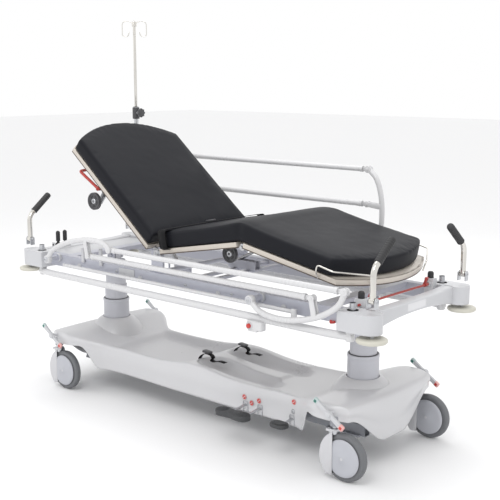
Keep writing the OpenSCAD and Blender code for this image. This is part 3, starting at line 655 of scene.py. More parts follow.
def build_castor(end, side, sx, sy):
    tag = f"{end}_{side}"
    place = moved(sx * CASTOR_X, sy * CASTOR_Y, 0)
    axle = moved(sx * CASTOR_X + TRAIL, sy * CASTOR_Y, WHEEL_R) @ along(Y)
    tyre = bmesh.new()
    lathe(tyre, [(0.074, -0.0150), (0.088, -0.0165), (0.0935, -0.0160), (0.0975, -0.0125), (0.0995, -0.0070),
                 (0.1, -0.002), (0.1, 0.002), (0.0995, 0.0070), (0.0975, 0.0125), (0.0935, 0.0160),
                 (0.088, 0.0165), (0.074, 0.0150), (0.060, 0.0120), (0.060, -0.0120), (0.074, -0.0150)], axle, 96)
    piece("tyre_" + tag, tyre, "wheel_" + tag, TYRE, ["wheel_" + tag], 40)
    hub = bmesh.new()
    lathe(hub, [(0.0062, -0.0165), (0.020, -0.0165), (0.022, -0.0125), (0.060, -0.0110), (0.0735, -0.0152),
                (0.0735, 0.0152), (0.060, 0.0110), (0.022, 0.0125), (0.020, 0.0165), (0.0062, 0.0165),
                (0.0062, -0.0165)], axle, 64)
    piece("wheel_hub_" + tag, hub, "wheel_" + tag, CASTOR_DISC, (), 40)
    discs = bmesh.new()
    for s in (-1, 1):
        profile = [(0, 0.0295), (0.012, 0.0294), (0.014, 0.0278), (0.055, 0.0272), (0.070, 0.0262), (0.0765, 0.0238),
                   (0.0785, 0.0206), (0.0778, 0.0190), (0.070, 0.0186), (0, 0.0186)]
        lathe(discs, [(r, h * s) for r, h in profile], axle, 80)
    piece("castor_discs_" + tag, discs, "castor_fork_" + tag, CASTOR_DISC,
          ["castor_fork_" + tag], 40)
    hood = bmesh.new()
    outline = [(-0.046, 0.205), (-0.046, 0.026)]
    outline += [(x, z) for x, z in arc(0, 0.1, 0.1105, 226, 118, 26) if x < -0.047]
    shape = place @ moved(TRAIL, 0, 0) @ turned("X", 90)
    verts = [hood.verts.new((x, z, -0.0275)) for x, z in outline]
    face = hood.faces.new(verts)
    out = bmesh.ops.extrude_face_region(hood, geom=[face])["geom"]
    far = [g for g in out if isinstance(g, bmesh.types.BMVert)]
    bmesh.ops.translate(hood, vec=(0, 0, 0.055), verts=far)
    open_side = [f for f in hood.faces if abs(f.calc_center_median().x + 0.046) < 1e-4]
    bmesh.ops.delete(hood, geom=open_side, context="FACES")
    rims = [e for e in hood.edges if e.is_manifold and e.calc_face_angle(0) > 1.2]
    bmesh.ops.bevel(hood, geom=rims, offset=0.009, segments=4, profile=0.5, affect="EDGES", material=-1,
                    clamp_overlap=True)
    bmesh.ops.transform(hood, matrix=shape, verts=hood.verts)
    hood_piece = piece("castor_hood_" + tag, hood, "castor_fork_" + tag, CASTOR_HOOD, (), 50)
    wall = hood_piece.modifiers.new("wall", "SOLIDIFY")
    wall.thickness = 0.003
    wall.offset = -1
    stem = bmesh.new()
    lathe(stem, [(0, 0.254), (0.0095, 0.254), (0.0098, 0.212), (0.021, 0.211), (0.0235, 0.207), (0.0235, 0.192),
                 (0.0215, 0.188), (0, 0.188)], place, 40)
    piece("castor_stem_" + tag, stem, "castor_fork_" + tag, STEEL)
    cap = bmesh.new()
    block(cap, (-0.030, -0.024, 0.1985), (0.012, 0.024, 0.2085), 0.004, place)
    lathe(cap, [(0, 0.0300), (0.0055, 0.0300), (0.0062, 0.0285), (0.0062, 0.027)],
          moved(sx * CASTOR_X + TRAIL, sy * CASTOR_Y, WHEEL_R) @ along(-Y), 24)
    piece("castor_cap_" + tag, cap, "castor_fork_" + tag, CASTOR_HOOD)


# ---------- pedals and brakes ----------

def peanut(half_gap, lobe, waist):
    """Outline of a two-lobed pad in XY."""
    swing = math.degrees(math.acos(min(1.0, waist / lobe)))
    pts = arc(half_gap, 0, lobe, -90 - 0.35 * swing, 90 + 0.35 * swing, 18)
    pts += [(0.0, waist)]
    pts += arc(-half_gap, 0, lobe, 90 - 0.35 * swing, 270 + 0.35 * swing, 18)
    pts += [(0.0, -waist)]
    return pts


def build_pedals(side, s):
    pad = bmesh.new()
    plate(pad, peanut(0.058, 0.034, 0.025), 0.1385, 0.1635, 0.004, moved(0.363, s * 0.352, 0))
    for x in (-0.058, 0.058):
        for step in range(-2, 3):
            half = math.sqrt(0.030 ** 2 - (step * 0.0105) ** 2) * 0.86
            block(pad, (0.363 + x - half, s * 0.352 + step * 0.0105 - 0.0022, 0.1625),
                  (0.363 + x + half, s * 0.352 + step * 0.0105 + 0.0022, 0.1652), 0.0011, None, 2)
    piece("pump_pad_" + side, pad, "pump_pedal_" + side, PEDAL_BLACK, ["pump_pedal_" + side])
    arms = bmesh.new()
    disc_on(arms, (0.363, s * 0.17, 0.15), X, 0.006, 0.122, 0.001, 24)
    for x in (0.322, 0.405):
        route = rounded([(x, s * 0.170, 0.150), (x, s * 0.246, 0.150), (x, s * 0.262, 0.146),
                         (x, s * 0.335, 0.146)], 0.02)
        sweep(arms, route, 0.0068, 16, 0.8)
        disc_on(arms, (x, s * 0.17, 0.15), X, 0.0125, 0.016, 0.0015, 24)
        disc_on(arms, (x, s * 0.312, 0.146), Y, 0.0095, 0.010, 0.001, 24)
    piece("pump_arms_" + side, arms, "pump_pedal_" + side, STEEL)
    pad = bmesh.new()
    plate(pad, peanut(0.014, 0.030, 0.0300), 0.1385, 0.1565, 0.005, moved(0.592, s * 0.312, 0), 4)
    plate(pad, peanut(0.013, 0.0215, 0.0215), 0.1560, 0.1598, 0.0018, moved(0.592, s * 0.312, 0))
    piece("release_pad_" + side, pad, "release_pedal_" + side, PEDAL_BLACK,
          ["release_pedal_" + side])
    arms = bmesh.new()
    disc_on(arms, (0.592, s * 0.17, 0.15), X, 0.006, 0.052, 0.001, 24)
    sweep(arms, rounded([(0.592, s * 0.17, 0.15), (0.592, s * 0.245, 0.15), (0.592, s * 0.262, 0.146),
                         (0.592, s * 0.300, 0.146)], 0.02), 0.0068, 16, 0.8)
    disc_on(arms, (0.592, s * 0.17, 0.15), X, 0.0125, 0.018, 0.0015, 24)
    piece("release_arm_" + side, arms, "release_pedal_" + side, STEEL)


def build_brakes(end, sx):
    body = "brake_levers_" + end
    lever, green_ring, red_ring, green, red = (bmesh.new() for _ in range(5))
    pivot = Vector((sx * CASTOR_X, 0, 0.28))
    disc_on(lever, pivot, Y, 0.0068, 0.744, 0.001, 24)
    for s in (-1, 1):
        place = Matrix.Translation(pivot + Vector((0, s * 0.363, 0))) @ turned("Y", 34) @ turned("X", 90)
        outline = arc(0.074, 0, 0.0105, -100, 100, 12) + [(0.020, 0.0085), (0.0, 0.0135), (-0.020, 0.0085)]
        outline += arc(-0.074, 0, 0.0105, 80, 280, 12) + [(-0.020, -0.0085), (0.0, -0.0135), (0.020, -0.0085)]
        plate(lever, outline, -0.0065, 0.0065, 0.0028, place, 4)
        disc_on(lever, pivot + Vector((0, s * 0.3655, 0)), Y, 0.0135, 0.020, 0.002, 32)
        for x, ring, core in ((-0.0755, green_ring, green), (0.0755, red_ring, red)):
            end_place = place @ moved(x, 0, 0)
            block(ring, (-0.0118, -0.0118, -0.0080), (0.0118, 0.0118, 0.0080), 0.0058, end_place, 4)
            for face in (-1, 1):
                block(core, (-0.0058, -0.0062, face * 0.0081 - 0.0008),
                      (0.0058, 0.0062, face * 0.0081 + 0.0008), 0.0007, end_place, 2)
    piece("brake_lever_bars_" + end, lever, body, CASTING_WHITE, [body])
    piece("brake_green_ends_" + end, green_ring, body, PALE_GREEN)
    piece("brake_red_ends_" + end, red_ring, body, PALE_RED)
    piece("brake_green_marks_" + end, green, body, GREEN)
    piece("brake_red_marks_" + end, red, body, RED_PLASTIC)


# ---------- upper frame ----------

def build_corner(bm, steel, sx, sy, socket_x):
    """Corner housing, a block with one half-round end, with its handle lugs and pole socket."""
    flip = Matrix.Diagonal((sx, sy, 1, 1))
    outline = [(0.930, 0.384), (0.930, 0.286)] + arc(1.056, 0.335, 0.049, -90, 90, 24)
    plate(bm, outline, 0.627, 0.7385, 0.007, flip, 5)
    ring = moved(sx * socket_x, sy * 0.335, 0)
    lathe(bm, [(0.0130, 0.7405), (0.0135, 0.7425), (0.0155, 0.7435), (0.0195, 0.7425), (0.0235, 0.7375)], ring, 40)
    lathe(steel, [(0.0128, 0.7430), (0.0128, 0.66), (0.0, 0.66)], ring, 32)
    place = moved(sx * CORNER_X, sy * CORNER_Y, 0)
    for d in (-1, 1):
        side = place @ moved(d * 0.0175, 0, 0)
        outline = [(-0.0125, 0.735), (0.0125, 0.735)] + arc(0, 0.766, 0.0125, 0, 180, 12)
        plate(steel, outline, -0.0024, 0.0024, 0.0008, side @ turned("Z", 90) @ turned("X", 90), 2)
        bolt(steel, (sx * CORNER_X + d * 0.0200, sy * CORNER_Y, 0.765), (d, 0, 0), 0.0072)
    disc_on(steel, (sx * CORNER_X, sy * CORNER_Y, 0.765), X, 0.0048, 0.040, 0.0005, 20)


def build_crossbeam(bm, sx):
    """Cross member between two corner housings, arched underneath."""
    others = set(bm.verts)
    verts = bmesh.ops.create_cube(bm, size=1, matrix=moved(sx * 1.030, 0, 0.68)
                                  @ Matrix.Diagonal((0.054, 0.60, 0.064, 1)))["verts"]
    long_edges = [e for e in edges_of(verts) if abs((e.verts[0].co - e.verts[1].co).y) > 0.3]
    bmesh.ops.subdivide_edges(bm, edges=long_edges, cuts=28, use_grid_fill=True)
    every = [v for v in bm.verts if v not in others]
    for v in every:
        share = min(1.0, abs(v.co.y) / 0.29)
        if v.co.z < 0.68:
            v.co.z = 0.662 - 0.026 * share ** 2.2
        else:
            v.co.z = 0.708 + 0.006 * share ** 3
        if (v.co.x - sx * 1.030) * sx > 0:
            v.co.x += sx * (0.004 * (1 - share ** 2))
    rims = [e for e in edges_of(every) if e.calc_face_angle(0) > 1.0]
    bmesh.ops.bevel(bm, geom=rims, offset=0.008, segments=4, profile=0.5, affect="EDGES", material=-1,
                    clamp_overlap=True)


def build_castings():
    for end, sx in ENDS:
        bm, steel = bmesh.new(), bmesh.new()
        for _, sy in SIDES:
            build_corner(bm, steel, sx, sy, 0.975 if sx > 0 else 0.985)
            crown = moved(sx * 1.030, sy * 0.247, 0)
            outline = [(-0.045, 0.700), (0.050, 0.700), (0.050, 0.738), (0.020, 0.742), (-0.012, 0.738),
                       (-0.034, 0.722)]
            flip = crown @ Matrix.Diagonal((1, sy, 1, 1)) @ turned("Z", 90) @ turned("X", 90)
            plate(bm, outline, -0.022, 0.022, 0.007, flip, 4)
        build_crossbeam(bm, sx)
        if sx < 0:
            block(bm, (-1.001, -0.279, 0.696), (-0.835, 0.279, 0.703), 0.002)
            for y in (-0.229, -0.126):
                block(bm, (-1.036, y - 0.003, 0.704), (-1.014, y + 0.003, 0.736), 0.0015)
        else:
            for _, sy in SIDES:
                lo, hi = sorted((sy * 0.245, sy * 0.275))
                block(bm, (0.940, lo, 0.664), (1.004, hi, 0.692), 0.002)
                block(bm, (0.940, lo, 0.688), (0.985, hi, 0.745), 0.002)
                disc_on(bm, (0.9625, sy * 0.24, 0.722), Y, 0.012, 0.012, 0.001, 24)
        piece("end_casting_" + end, bm, "upper_frame", CASTING_WHITE, [end + "_end_casting"])
        piece("corner_metalwork_" + end, steel, "upper_frame", STEEL)
    stops = bmesh.new()
    for _, sy in SIDES:
        lathe(stops, [(0, 0.773), (0.009, 0.773), (0.0125, 0.769), (0.0135, 0.762), (0.0135, 0.746), (0.0115, 0.742),
                      (0, 0.742)], moved(0.962, sy * 0.260, 0), 28)
    piece("leg_stops", stops, "upper_frame", GRIP_BLACK)
    label = bmesh.new()
    block(label, (1.0590, -0.075, 0.672), (1.0612, 0.062, 0.702), 0.001)
    piece("blank_plate", label, "upper_frame", LABEL)


def build_bumpers():
    bm = bmesh.new()
    for _, s in SIDES:
        route = rounded([(-0.985, s * 0.343, BUMPER_Z), (-0.898, s * 0.361, BUMPER_Z), (0.898, s * 0.361, BUMPER_Z),
                         (0.985, s * 0.343, BUMPER_Z)], 0.08)
        sweep(bm, route, 0.0162, 24, 1.0, 0.004)
        for sx in (-1, 1):
            lathe(bm, [(0, 0.590), (0.0150, 0.590), (0.0185, 0.594), (0.0185, 0.629), (0, 0.629)],
                  moved(sx * 0.970, s * 0.343, 0), 32)
        lo, hi = sorted((s * 0.360, s * 0.394))
        block(bm, (0.478, lo, 0.562), (0.560, hi, 0.602), 0.006)
        block(bm, (0.486, lo, 0.5555), (0.534, hi, 0.566), 0.004)
    piece("side_bumper_tubes", bm, "upper_frame", RAIL_WHITE, ["bumper_bars"])
    discs = bmesh.new()
    profile = [(0, 0.602), (0.052, 0.602), (0.058, 0.604), (0.0615, 0.6085), (0.062, 0.612), (0.0605, 0.6165),
               (0.056, 0.6195), (0.046, 0.620), (0, 0.620)]
    screws = bmesh.new()
    for _, sx in ENDS:
        for _, sy in SIDES:
            lathe(discs, profile, moved(sx * CORNER_X, sy * CORNER_Y, 0), 64)
            lathe(screws, [(0, 0.6275), (0.0085, 0.6275), (0.0085, 0.619), (0, 0.619)],
                  moved(sx * CORNER_X, sy * CORNER_Y, 0), 24)
            bolt(screws, (sx * CORNER_X, sy * CORNER_Y, 0.6022), -Z, 0.009)
    piece("corner_buffers", discs, "upper_frame", CREAM, ["bumper_discs"])
    piece("buffer_screws", screws, "upper_frame", STEEL)


def build_frame_fittings():
    eased("upper_chassis", FRAME_GREY, 0.003, 3)
    rails, bolts, white = bmesh.new(), bmesh.new(), bmesh.new()
    for _, s in SIDES:
        sweep(rails, [(-0.790, s * 0.350, 0.664), (0.690, s * 0.350, 0.664)], 0.008, 20, 1.0, 0.002)
        for x in (-0.700, -0.250, 0.250, 0.620):
            disc_on(rails, (x, s * 0.333, 0.664), Y, 0.0062, 0.034, 0.001, 20)
            disc_on(white, (x, s * 0.3215, 0.664), Y, 0.014, 0.004, 0.001, 24)
        lo, hi = sorted((s * 0.341, s * 0.358))
        block(rails, (0.686, lo, 0.606), (0.708, hi, 0.676), 0.003)
        for x in (-0.861, 0.500):
            lathe(white, [(0, 0.0015), (0.0125, 0.0015), (0.0145, 0.0), (0.0145, -0.0030), (0, -0.0030)],
                  moved(x, s * 0.4072, 0.690) @ along((0, s, 0)), 32)
            bolt(bolts, (x, s * 0.4086, 0.690), (0, s, 0), 0.0075)
            disc_on(white, (x, s * 0.3275, 0.690), Y, 0.022, 0.015, 0.002, 32)
        for x in (-0.16,):
            disc_on(white, (x, s * 0.300, 0.790), Y, 0.019, 0.004, 0.001, 32)
            bolt(bolts, (x, s * 0.302, 0.790), (0, s, 0), 0.008)
        for x in (-0.90, -0.42, 0.05, 0.33, 0.90):
            bolt(bolts, (x, s * 0.3202, 0.675), (0, s, 0), 0.0075)
        for x, top in ((-0.66, 0.763), (-0.525, 0.775)):
            lo, hi = sorted((s * 0.322, s * 0.334))
            block(white, (x - 0.009, lo, 0.690), (x + 0.009, hi, top), 0.003)
        lo, hi = sorted((s * 0.3205, s * 0.3235))
        block(white, (-0.40, lo, 0.652), (-0.29, hi, 0.698), 0.001)
    piece("side_equipment_rails", rails, "upper_frame", RAIL_WHITE, ["equipment_rails"])
    piece("frame_screws", bolts, "upper_frame", STEEL)
    piece("frame_white_fittings", white, "upper_frame", CASTING_WHITE)
    lever = bmesh.new()
    for _, s in SIDES:
        sweep(lever, rounded([(0.862, s * 0.322, 0.650), (0.868, s * 0.332, 0.645), (0.892, s * 0.336, 0.652)], 0.01),
              0.0055, 16, 1.0, 0.002)
    piece("cross_brake_levers", lever, "upper_frame", RED_PLASTIC)


def build_push_handle(end, side, sx, sy):
    tag = f"{end}_{side}"
    body = "push_handle_" + tag
    lean = math.radians(51)
    base = Vector((sx * CORNER_X, sy * CORNER_Y, 0.765))
    start = base + Vector((0, 0, 0.093))
    bend = [start + Vector((0, -sy * 0.055 * (1 - math.cos(a)), 0.055 * math.sin(a)))
            for a in (lean * i / 9 for i in range(10))]
    out = Vector((0, -sy * math.sin(lean), math.cos(lean)))
    tip = bend[-1]
    tube = bmesh.new()
    sweep(tube, [base + Vector((0, 0, -0.004)), base + Vector((0, 0, 0.04)), *bend, tip + out * 0.036], 0.0125, 28)
    disc_on(tube, base, X, 0.0135, 0.0238, 0.001, 28)
    piece("handle_tube_" + tag, tube, body, CHROME, [body])
    grip = bmesh.new()
    profile = [(0.0126, 0.010), (0.0150, 0.0105), (0.0168, 0.013), (0.0168, 0.017), (0.0156, 0.019)]
    for i in range(9):
        h = 0.0245 + i * 0.0115
        profile += [(0.0157, h - 0.0030), (0.0164, h - 0.0018), (0.0164, h + 0.0040), (0.0157, h + 0.0052)]
    profile += [(0.0162, 0.126), (0.0158, 0.132), (0.0138, 0.1370), (0.0095, 0.1395), (0, 0.1400)]
    lathe(grip, profile, Matrix.Translation(tip) @ along(out), 32)
    piece("handle_grip_" + tag, grip, body, GRIP_BLACK)


# ---------- side rails ----------

POST_CHORD = 0.4886
MID_PIN = (0.3267, -0.013)
RAIL_SPAN = 1.361


def post_frame(joint, degrees):
    return Matrix.Translation(PIVOT[joint]) @ turned("Y", -degrees)


def build_post(name, joint, degrees, bow):
    """A bowed rail post drawn in its own frame: pivot at the origin, top pin along +X."""
    place = post_frame(joint, degrees)
    shares = (0.0, 0.06, 0.13, 0.22, 0.33, 0.5, 0.67, 0.78, 0.87, 0.94, 1.0)
    route = [(POST_CHORD * t, 0, bow * (4 * t * (1 - t)) ** 0.55) for t in shares]
    route = rounded(route, 0.05, 4)
    bm = bmesh.new()
    sweep(bm, [place @ Vector(p) for p in route], RAIL_R, 24)
    y_axis = (place.to_3x3() @ Y)
    disc_on(bm, place.translation, y_axis, 0.0205, 0.0255, 0.003, 36)
    for pin, radius in (((POST_CHORD, 0), 0.0165), (MID_PIN, 0.0145)):
        centre = place @ Vector((pin[0], 0, pin[1]))
        for s in (-1, 1):
            disc_on(bm, centre + y_axis * s * 0.0095, y_axis, radius, 0.0075, 0.0018, 32)
            disc_on(bm, centre + y_axis * s * 0.0138, y_axis, 0.0065, 0.0020, 0.0008, 24)
        disc_on(bm, centre, y_axis, 0.005, 0.018, 0.0005, 20)
    reach = bow * 0.93
    lo, hi = sorted((reach, MID_PIN[1]))
    for s in (-1, 1):
        plate(bm, [(MID_PIN[0] - 0.0125, lo), (MID_PIN[0] + 0.0125, lo), (MID_PIN[0] + 0.0115, hi),
                   (MID_PIN[0] - 0.0115, hi)], s * 0.0095 - 0.0030, s * 0.0095 + 0.0030, 0.002,
              place @ turned("X", 90), 2)
    return piece(name + "_bar", bm, name, RAIL_WHITE, [name], 40)


def build_rail_tube(name, joint):
    start = PIVOT[joint]
    bm = bmesh.new()
    sweep(bm, [start + X * 0.032, start + X * (RAIL_SPAN - 0.032)], RAIL_R, 28, 1.0, 0.003)
    for x, s in ((0.0, 1), (RAIL_SPAN, -1)):
        disc_on(bm, start + X * x, Y, 0.0118, 0.0098, 0.0012, 28)
        lo, hi = sorted((x, x + s * 0.048))
        block(bm, start + Vector((lo, -0.0048, -0.0098)), start + Vector((hi, 0.0048, 0.0098)), 0.0012)
        lathe(bm, [(0.0128, 0.0), (0.0142, 0.002), (0.0142, 0.016), (0.0128, 0.018)],
              Matrix.Translation(start + X * (x + s * 0.030)) @ along(X * s), 28)
    return piece(name + "_bar", bm, name, RAIL_WHITE, [name])


def build_side_rails():
    for side, s in SIDES:
        degrees = 12.3 if s < 0 else 85.3
        build_post("rail_head_post_" + side, "rail_fold_" + side, degrees, 0.070)
        build_post("rail_foot_post_" + side, "rail_foot_post_" + side, degrees, -0.098)
        for row in ("top", "mid"):
            name = f"rail_{row}_tube_{side}"
            build_rail_tube(name, name)
        button = bmesh.new()
        lathe(button, [(0, 0.0148), (0.0060, 0.0146), (0.0088, 0.0135), (0.0099, 0.011), (0.0099, -0.012),
                       (0, -0.012)],
              moved(0.496, s * 0.391, 0.580) @ along((0, s, 0)), 32)
        piece("latch_push_button_" + side, button, "latch_button_" + side, RED_PLASTIC,
              ["latch_button_" + side])
        ring = bmesh.new()
        lathe(ring, [(0.0102, 0.0), (0.0102, 0.0018), (0.0175, 0.0018), (0.0185, 0.0008), (0.0185, 0.0)],
              moved(0.496, s * 0.394, 0.580) @ along((0, s, 0)), 32)
        piece("latch_ring_" + side, ring, "upper_frame", CASTING_WHITE)


# ---------- platform sections ----------

def bowed_outline(length, half, start=0.0, steps=26):
    """Straight sides and one bowed end towards +X."""
    centre = length - BOW_R
    swing = math.degrees(math.asin(half / BOW_R))
    return [(start, half), (start, -half)] + arc(centre, 0, BOW_R, -swing, swing, steps)


def build_tray(name, place, outline, body, slot_nodes):
    """Pressed platform section: a flat deck with a rolled rim and a dark lower edge."""
    bm = bmesh.new()
    plate(bm, outline, TRAY_H - 0.003, TRAY_H, 0.001, place, 2)
    rim = bmesh.new()
    verts = [rim.verts.new((x, y, TRAY_H)) for x, y in outline]
    line = [rim.edges.new((a, b)) for a, b in zip(verts, verts[1:] + verts[:1])]
    out = bmesh.ops.extrude_edge_only(rim, edges=line)["geom"]
    low = [g for g in out if isinstance(g, bmesh.types.BMVert)]
    bmesh.ops.translate(rim, vec=(0, 0, -TRAY_H + 0.004), verts=low)
    bmesh.ops.transform(rim, matrix=place, verts=rim.verts)
    edge = bmesh.new()
    edge_verts = [edge.verts.new((x, y, 0.0042)) for x, y in outline]
    line = [edge.edges.new((a, b)) for a, b in zip(edge_verts, edge_verts[1:] + edge_verts[:1])]
    out = bmesh.ops.extrude_edge_only(edge, edges=line)["geom"]
    low = [g for g in out if isinstance(g, bmesh.types.BMVert)]
    bmesh.ops.translate(edge, vec=(0, 0, -0.0042), verts=low)
    bmesh.ops.transform(edge, matrix=place, verts=edge.verts)
    deck = piece(name + "_deck", bm, body, TRAY_ALLOY, slot_nodes)
    for label, shell, thick, material in (("_rim", rim, 0.013, TRAY_ALLOY), ("_lower_edge", edge, 0.0125, TRAY_EDGE)):
        obj = piece(name + label, shell, body, material, (), 50)
        wall = obj.modifiers.new("wall", "SOLIDIFY")
        wall.thickness = thick
        wall.offset = -1
        wall.use_even_offset = True
        ease = obj.modifiers.new("ease", "BEVEL")
        ease.width = 0.0022 if label == "_rim" else 0.001
        ease.segments = 3
        ease.limit_method = "ANGLE"
        ease.angle_limit = math.radians(50)
    return deck


def build_brackets(name, place, body, lugs, plates, nodes=()):
    bm = bmesh.new()
    for x, y, to in lugs:
        disc_on(bm, (x, y, 0), Y, 0.0158, 0.0118, 0.0015, 32)
        block(bm, (min(x, to), y - 0.0058, 0.0), (max(x, to), y + 0.0058, 0.016), 0.0012)
        disc_on(bm, (x, y, 0), Y, 0.0078, 0.028, 0.001, 24)
    for lo, hi in plates:
        block(bm, lo, hi, 0.0012)
    bmesh.ops.transform(bm, matrix=place, verts=bm.verts)
    return piece(name, bm, body, STEEL, nodes)


def build_platforms():
    mirror = AT_BACK @ Matrix.Diagonal((-1, 1, 1, 1))
    build_tray("back_tray", mirror, bowed_outline(0.805, 0.325, 0.03), "back", ["back_platform"])
    seat = [(0.03, 0.325), (0.03, -0.325), (0.512, -0.325), (0.512, 0.325)]
    build_tray("seat_tray", AT_SEAT, seat, "seat", ["seat_platform"])
    build_tray("leg_tray", AT_LEG, bowed_outline(0.61, 0.325, 0.015), "leg", ["leg_platform"])
    build_brackets("back_brackets", AT_BACK, "back",
                   [(0, s * 0.276, -0.06) for s in (-1, 1)],
                   [((-0.464, -0.060 + y - 0.003, -0.044), (-0.436, -0.060 + y + 0.003, 0.022))
                    for y in (-0.016, 0.016)]
                   + [((-0.470, -0.298, -0.028), (-0.430, -0.290, 0.022)),
                      ((-0.440, -0.298, -0.080), (-0.410, -0.290, 0.022))])
    build_brackets("seat_brackets", AT_SEAT, "seat",
                   [(0, s * 0.306, 0.05) for s in (-1, 1)]
                   + [(SEAT_LEN, s * 0.291, SEAT_LEN - 0.06) for s in (-1, 1)],
                   [((0.386, y - 0.003, -0.028), (0.414, y + 0.003, 0.022)) for y in (0.046, 0.074)]
                   + [((0.404, -0.262, -0.040), (0.436, -0.256, 0.022))])
    build_brackets("leg_brackets", AT_LEG, "leg", [(0, s * 0.306, 0.06) for s in (-1, 1)], [])
    for body, place, x0, x1 in (("back", AT_BACK, -0.62, -0.12), ("seat", AT_SEAT, 0.10, 0.36),
                                ("leg", AT_LEG, 0.10, 0.46)):
        ribs = bmesh.new()
        for y in (-0.215, 0.0, 0.215):
            if body == "seat" and y == 0.0:
                continue
            block(ribs, (x0, y - 0.011, 0.008), (x1, y + 0.011, 0.0221), 0.002)
        bmesh.ops.transform(ribs, matrix=place, verts=ribs.verts)
        piece(body + "_stiffeners", ribs, body, FRAME_GREY)


# ---------- mattress ----------

PAD_LIFT = TRAY_H + 0.001
PAD_SIDE = 0.340
PAD_START = 0.030
KNEE_SOFT = 0.06


def puff(obj, voxel, cap, pressure=4.0):
    """Inflates a foam piece a little: remesh, cloth with pressure, movement capped."""
    scene = bpy.context.scene
    remesh = obj.modifiers.new("remesh", "REMESH")
    remesh.mode = "VOXEL"
    remesh.voxel_size = voxel
    graph = bpy.context.evaluated_depsgraph_get()
    mesh = bpy.data.meshes.new_from_object(obj.evaluated_get(graph))
    obj.modifiers.clear()
    obj.data = mesh
    rest = [v.co.copy() for v in mesh.vertices]
    cloth = obj.modifiers.new("cloth", "CLOTH")
    cloth.settings.use_pressure = True
    cloth.settings.uniform_pressure_force = pressure
    cloth.settings.effector_weights.gravity = 0
    cloth.settings.quality = 4
    cloth.settings.tension_stiffness = 40
    cloth.settings.compression_stiffness = 40
    cloth.settings.bending_stiffness = 2
    for number in range(1, 21):
        scene.frame_set(number)
    graph = bpy.context.evaluated_depsgraph_get()
    swollen = obj.evaluated_get(graph).to_mesh()
    places = [v.co.copy() for v in swollen.vertices]
    obj.modifiers.clear()
    for v, before, after in zip(mesh.vertices, rest, places):
        step = after - before
        if step.length > cap:
            step *= cap / step.length
        v.co = before + step
    scene.frame_set(1)


def tuck(obj, base, top, half, seam_depth=0.0028):
    """Flattens the underside, and draws in the welded seams along the upper and lower rims."""
    for v in obj.data.vertices:
        co = v.co
        if co.z < base + 0.012:
            co.z = max(co.z, base + 0.0006)
        for seam_z in (base + 0.008, top - 0.006):
            gap = abs(co.z - seam_z)
            if gap < 0.006 and abs(co.y) > half - 0.020:
                co.y -= math.copysign(seam_depth * (1 - gap / 0.006), co.y)
        limit = half + 0.0045
        co.y = max(-limit, min(limit, co.y))
        co.z = min(co.z, top + 0.010)


def crown(x, y, half):
    """Slow rise of the top face towards its middle, with slight wrinkles."""
    across = max(0.0, 1 - (y / half) ** 4)
    wave = noise.noise(Vector((x * 6, y * 6, 0.3))) * 0.0018 + noise.noise(Vector((x * 22, y * 22, 1.7))) * 0.0006
    return 0.004 * across + wave * across


def knee_fold(co):
    """Rise of the foam over the knee, and the pinch in its sides there."""
    near = (co.x - SEAT_LEN) / 0.13
    if co.z > PAD_LIFT + PAD_T * 0.6:
        co.z += 0.007 * math.exp(-near * near)
    pinch = (co.x - SEAT_LEN) / 0.011
    if abs(co.y) > PAD_SIDE - 0.02:
        co.y -= math.copysign(0.0045 * math.exp(-pinch * pinch) * (co.z - PAD_LIFT) / PAD_T, co.y)


def over_knee(co):
    """Bends a flat pad over the knee between the seat and leg sections."""
    share = smooth_step(SEAT_LEN - KNEE_SOFT, SEAT_LEN + KNEE_SOFT, co.x)
    turn = Matrix.Rotation(KNEE_ANGLE * (2 * share - 1), 4, "Y")
    return Matrix.Translation(PIVOT["knee"]) @ turn @ Vector((co.x - SEAT_LEN, co.y, co.z))


def build_pad(name, nodes, outline, thick, shape):
    """A foam pad in its coated cover: built flat, swollen, seamed, crowned, then put in place."""
    bm = bmesh.new()
    plate(bm, outline, PAD_LIFT + 0.003, PAD_LIFT + thick - 0.003, 0, None)
    obj = piece(name, bm, None, MATTRESS, nodes)
    puff(obj, 0.0085, 0.007)
    tuck(obj, PAD_LIFT, PAD_LIFT + thick, PAD_SIDE)
    for v in obj.data.vertices:
        if v.co.z > PAD_LIFT + thick * 0.6:
            v.co.z += crown(v.co.x, v.co.y, PAD_SIDE)
        v.co = shape(v.co)
    for polygon in obj.data.polygons:
        polygon.use_smooth = True
    if not obj.data.materials:
        obj.data.materials.append(MATTRESS)
    smooth = obj.modifiers.new("soften", "SUBSURF")
    smooth.levels = smooth.render_levels = 1
    return obj


def build_mattress():
    mirror = AT_BACK @ Matrix.Diagonal((-1, 1, 1, 1))
    half = PAD_SIDE - 0.004
    outline = bowed_outline(BACK_LEN + 0.006, half, PAD_START, 30)
    back = build_pad("mattress_back_pad", ["mattress_back"], outline, PAD_T - 0.006, lambda co: mirror @ co)
    back.data.flip_normals()
    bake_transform(back)

    def bent(co):
        knee_fold(co)
        return over_knee(co)

    outline = bowed_outline(SEAT_LEN + LEG_LEN, half, PAD_START, 30)
    front = build_pad("mattress_front_pad", ["mattress_seat", "mattress_leg"], outline, PAD_T, bent)
    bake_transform(front)


# ---------- small metalwork on the platform ----------

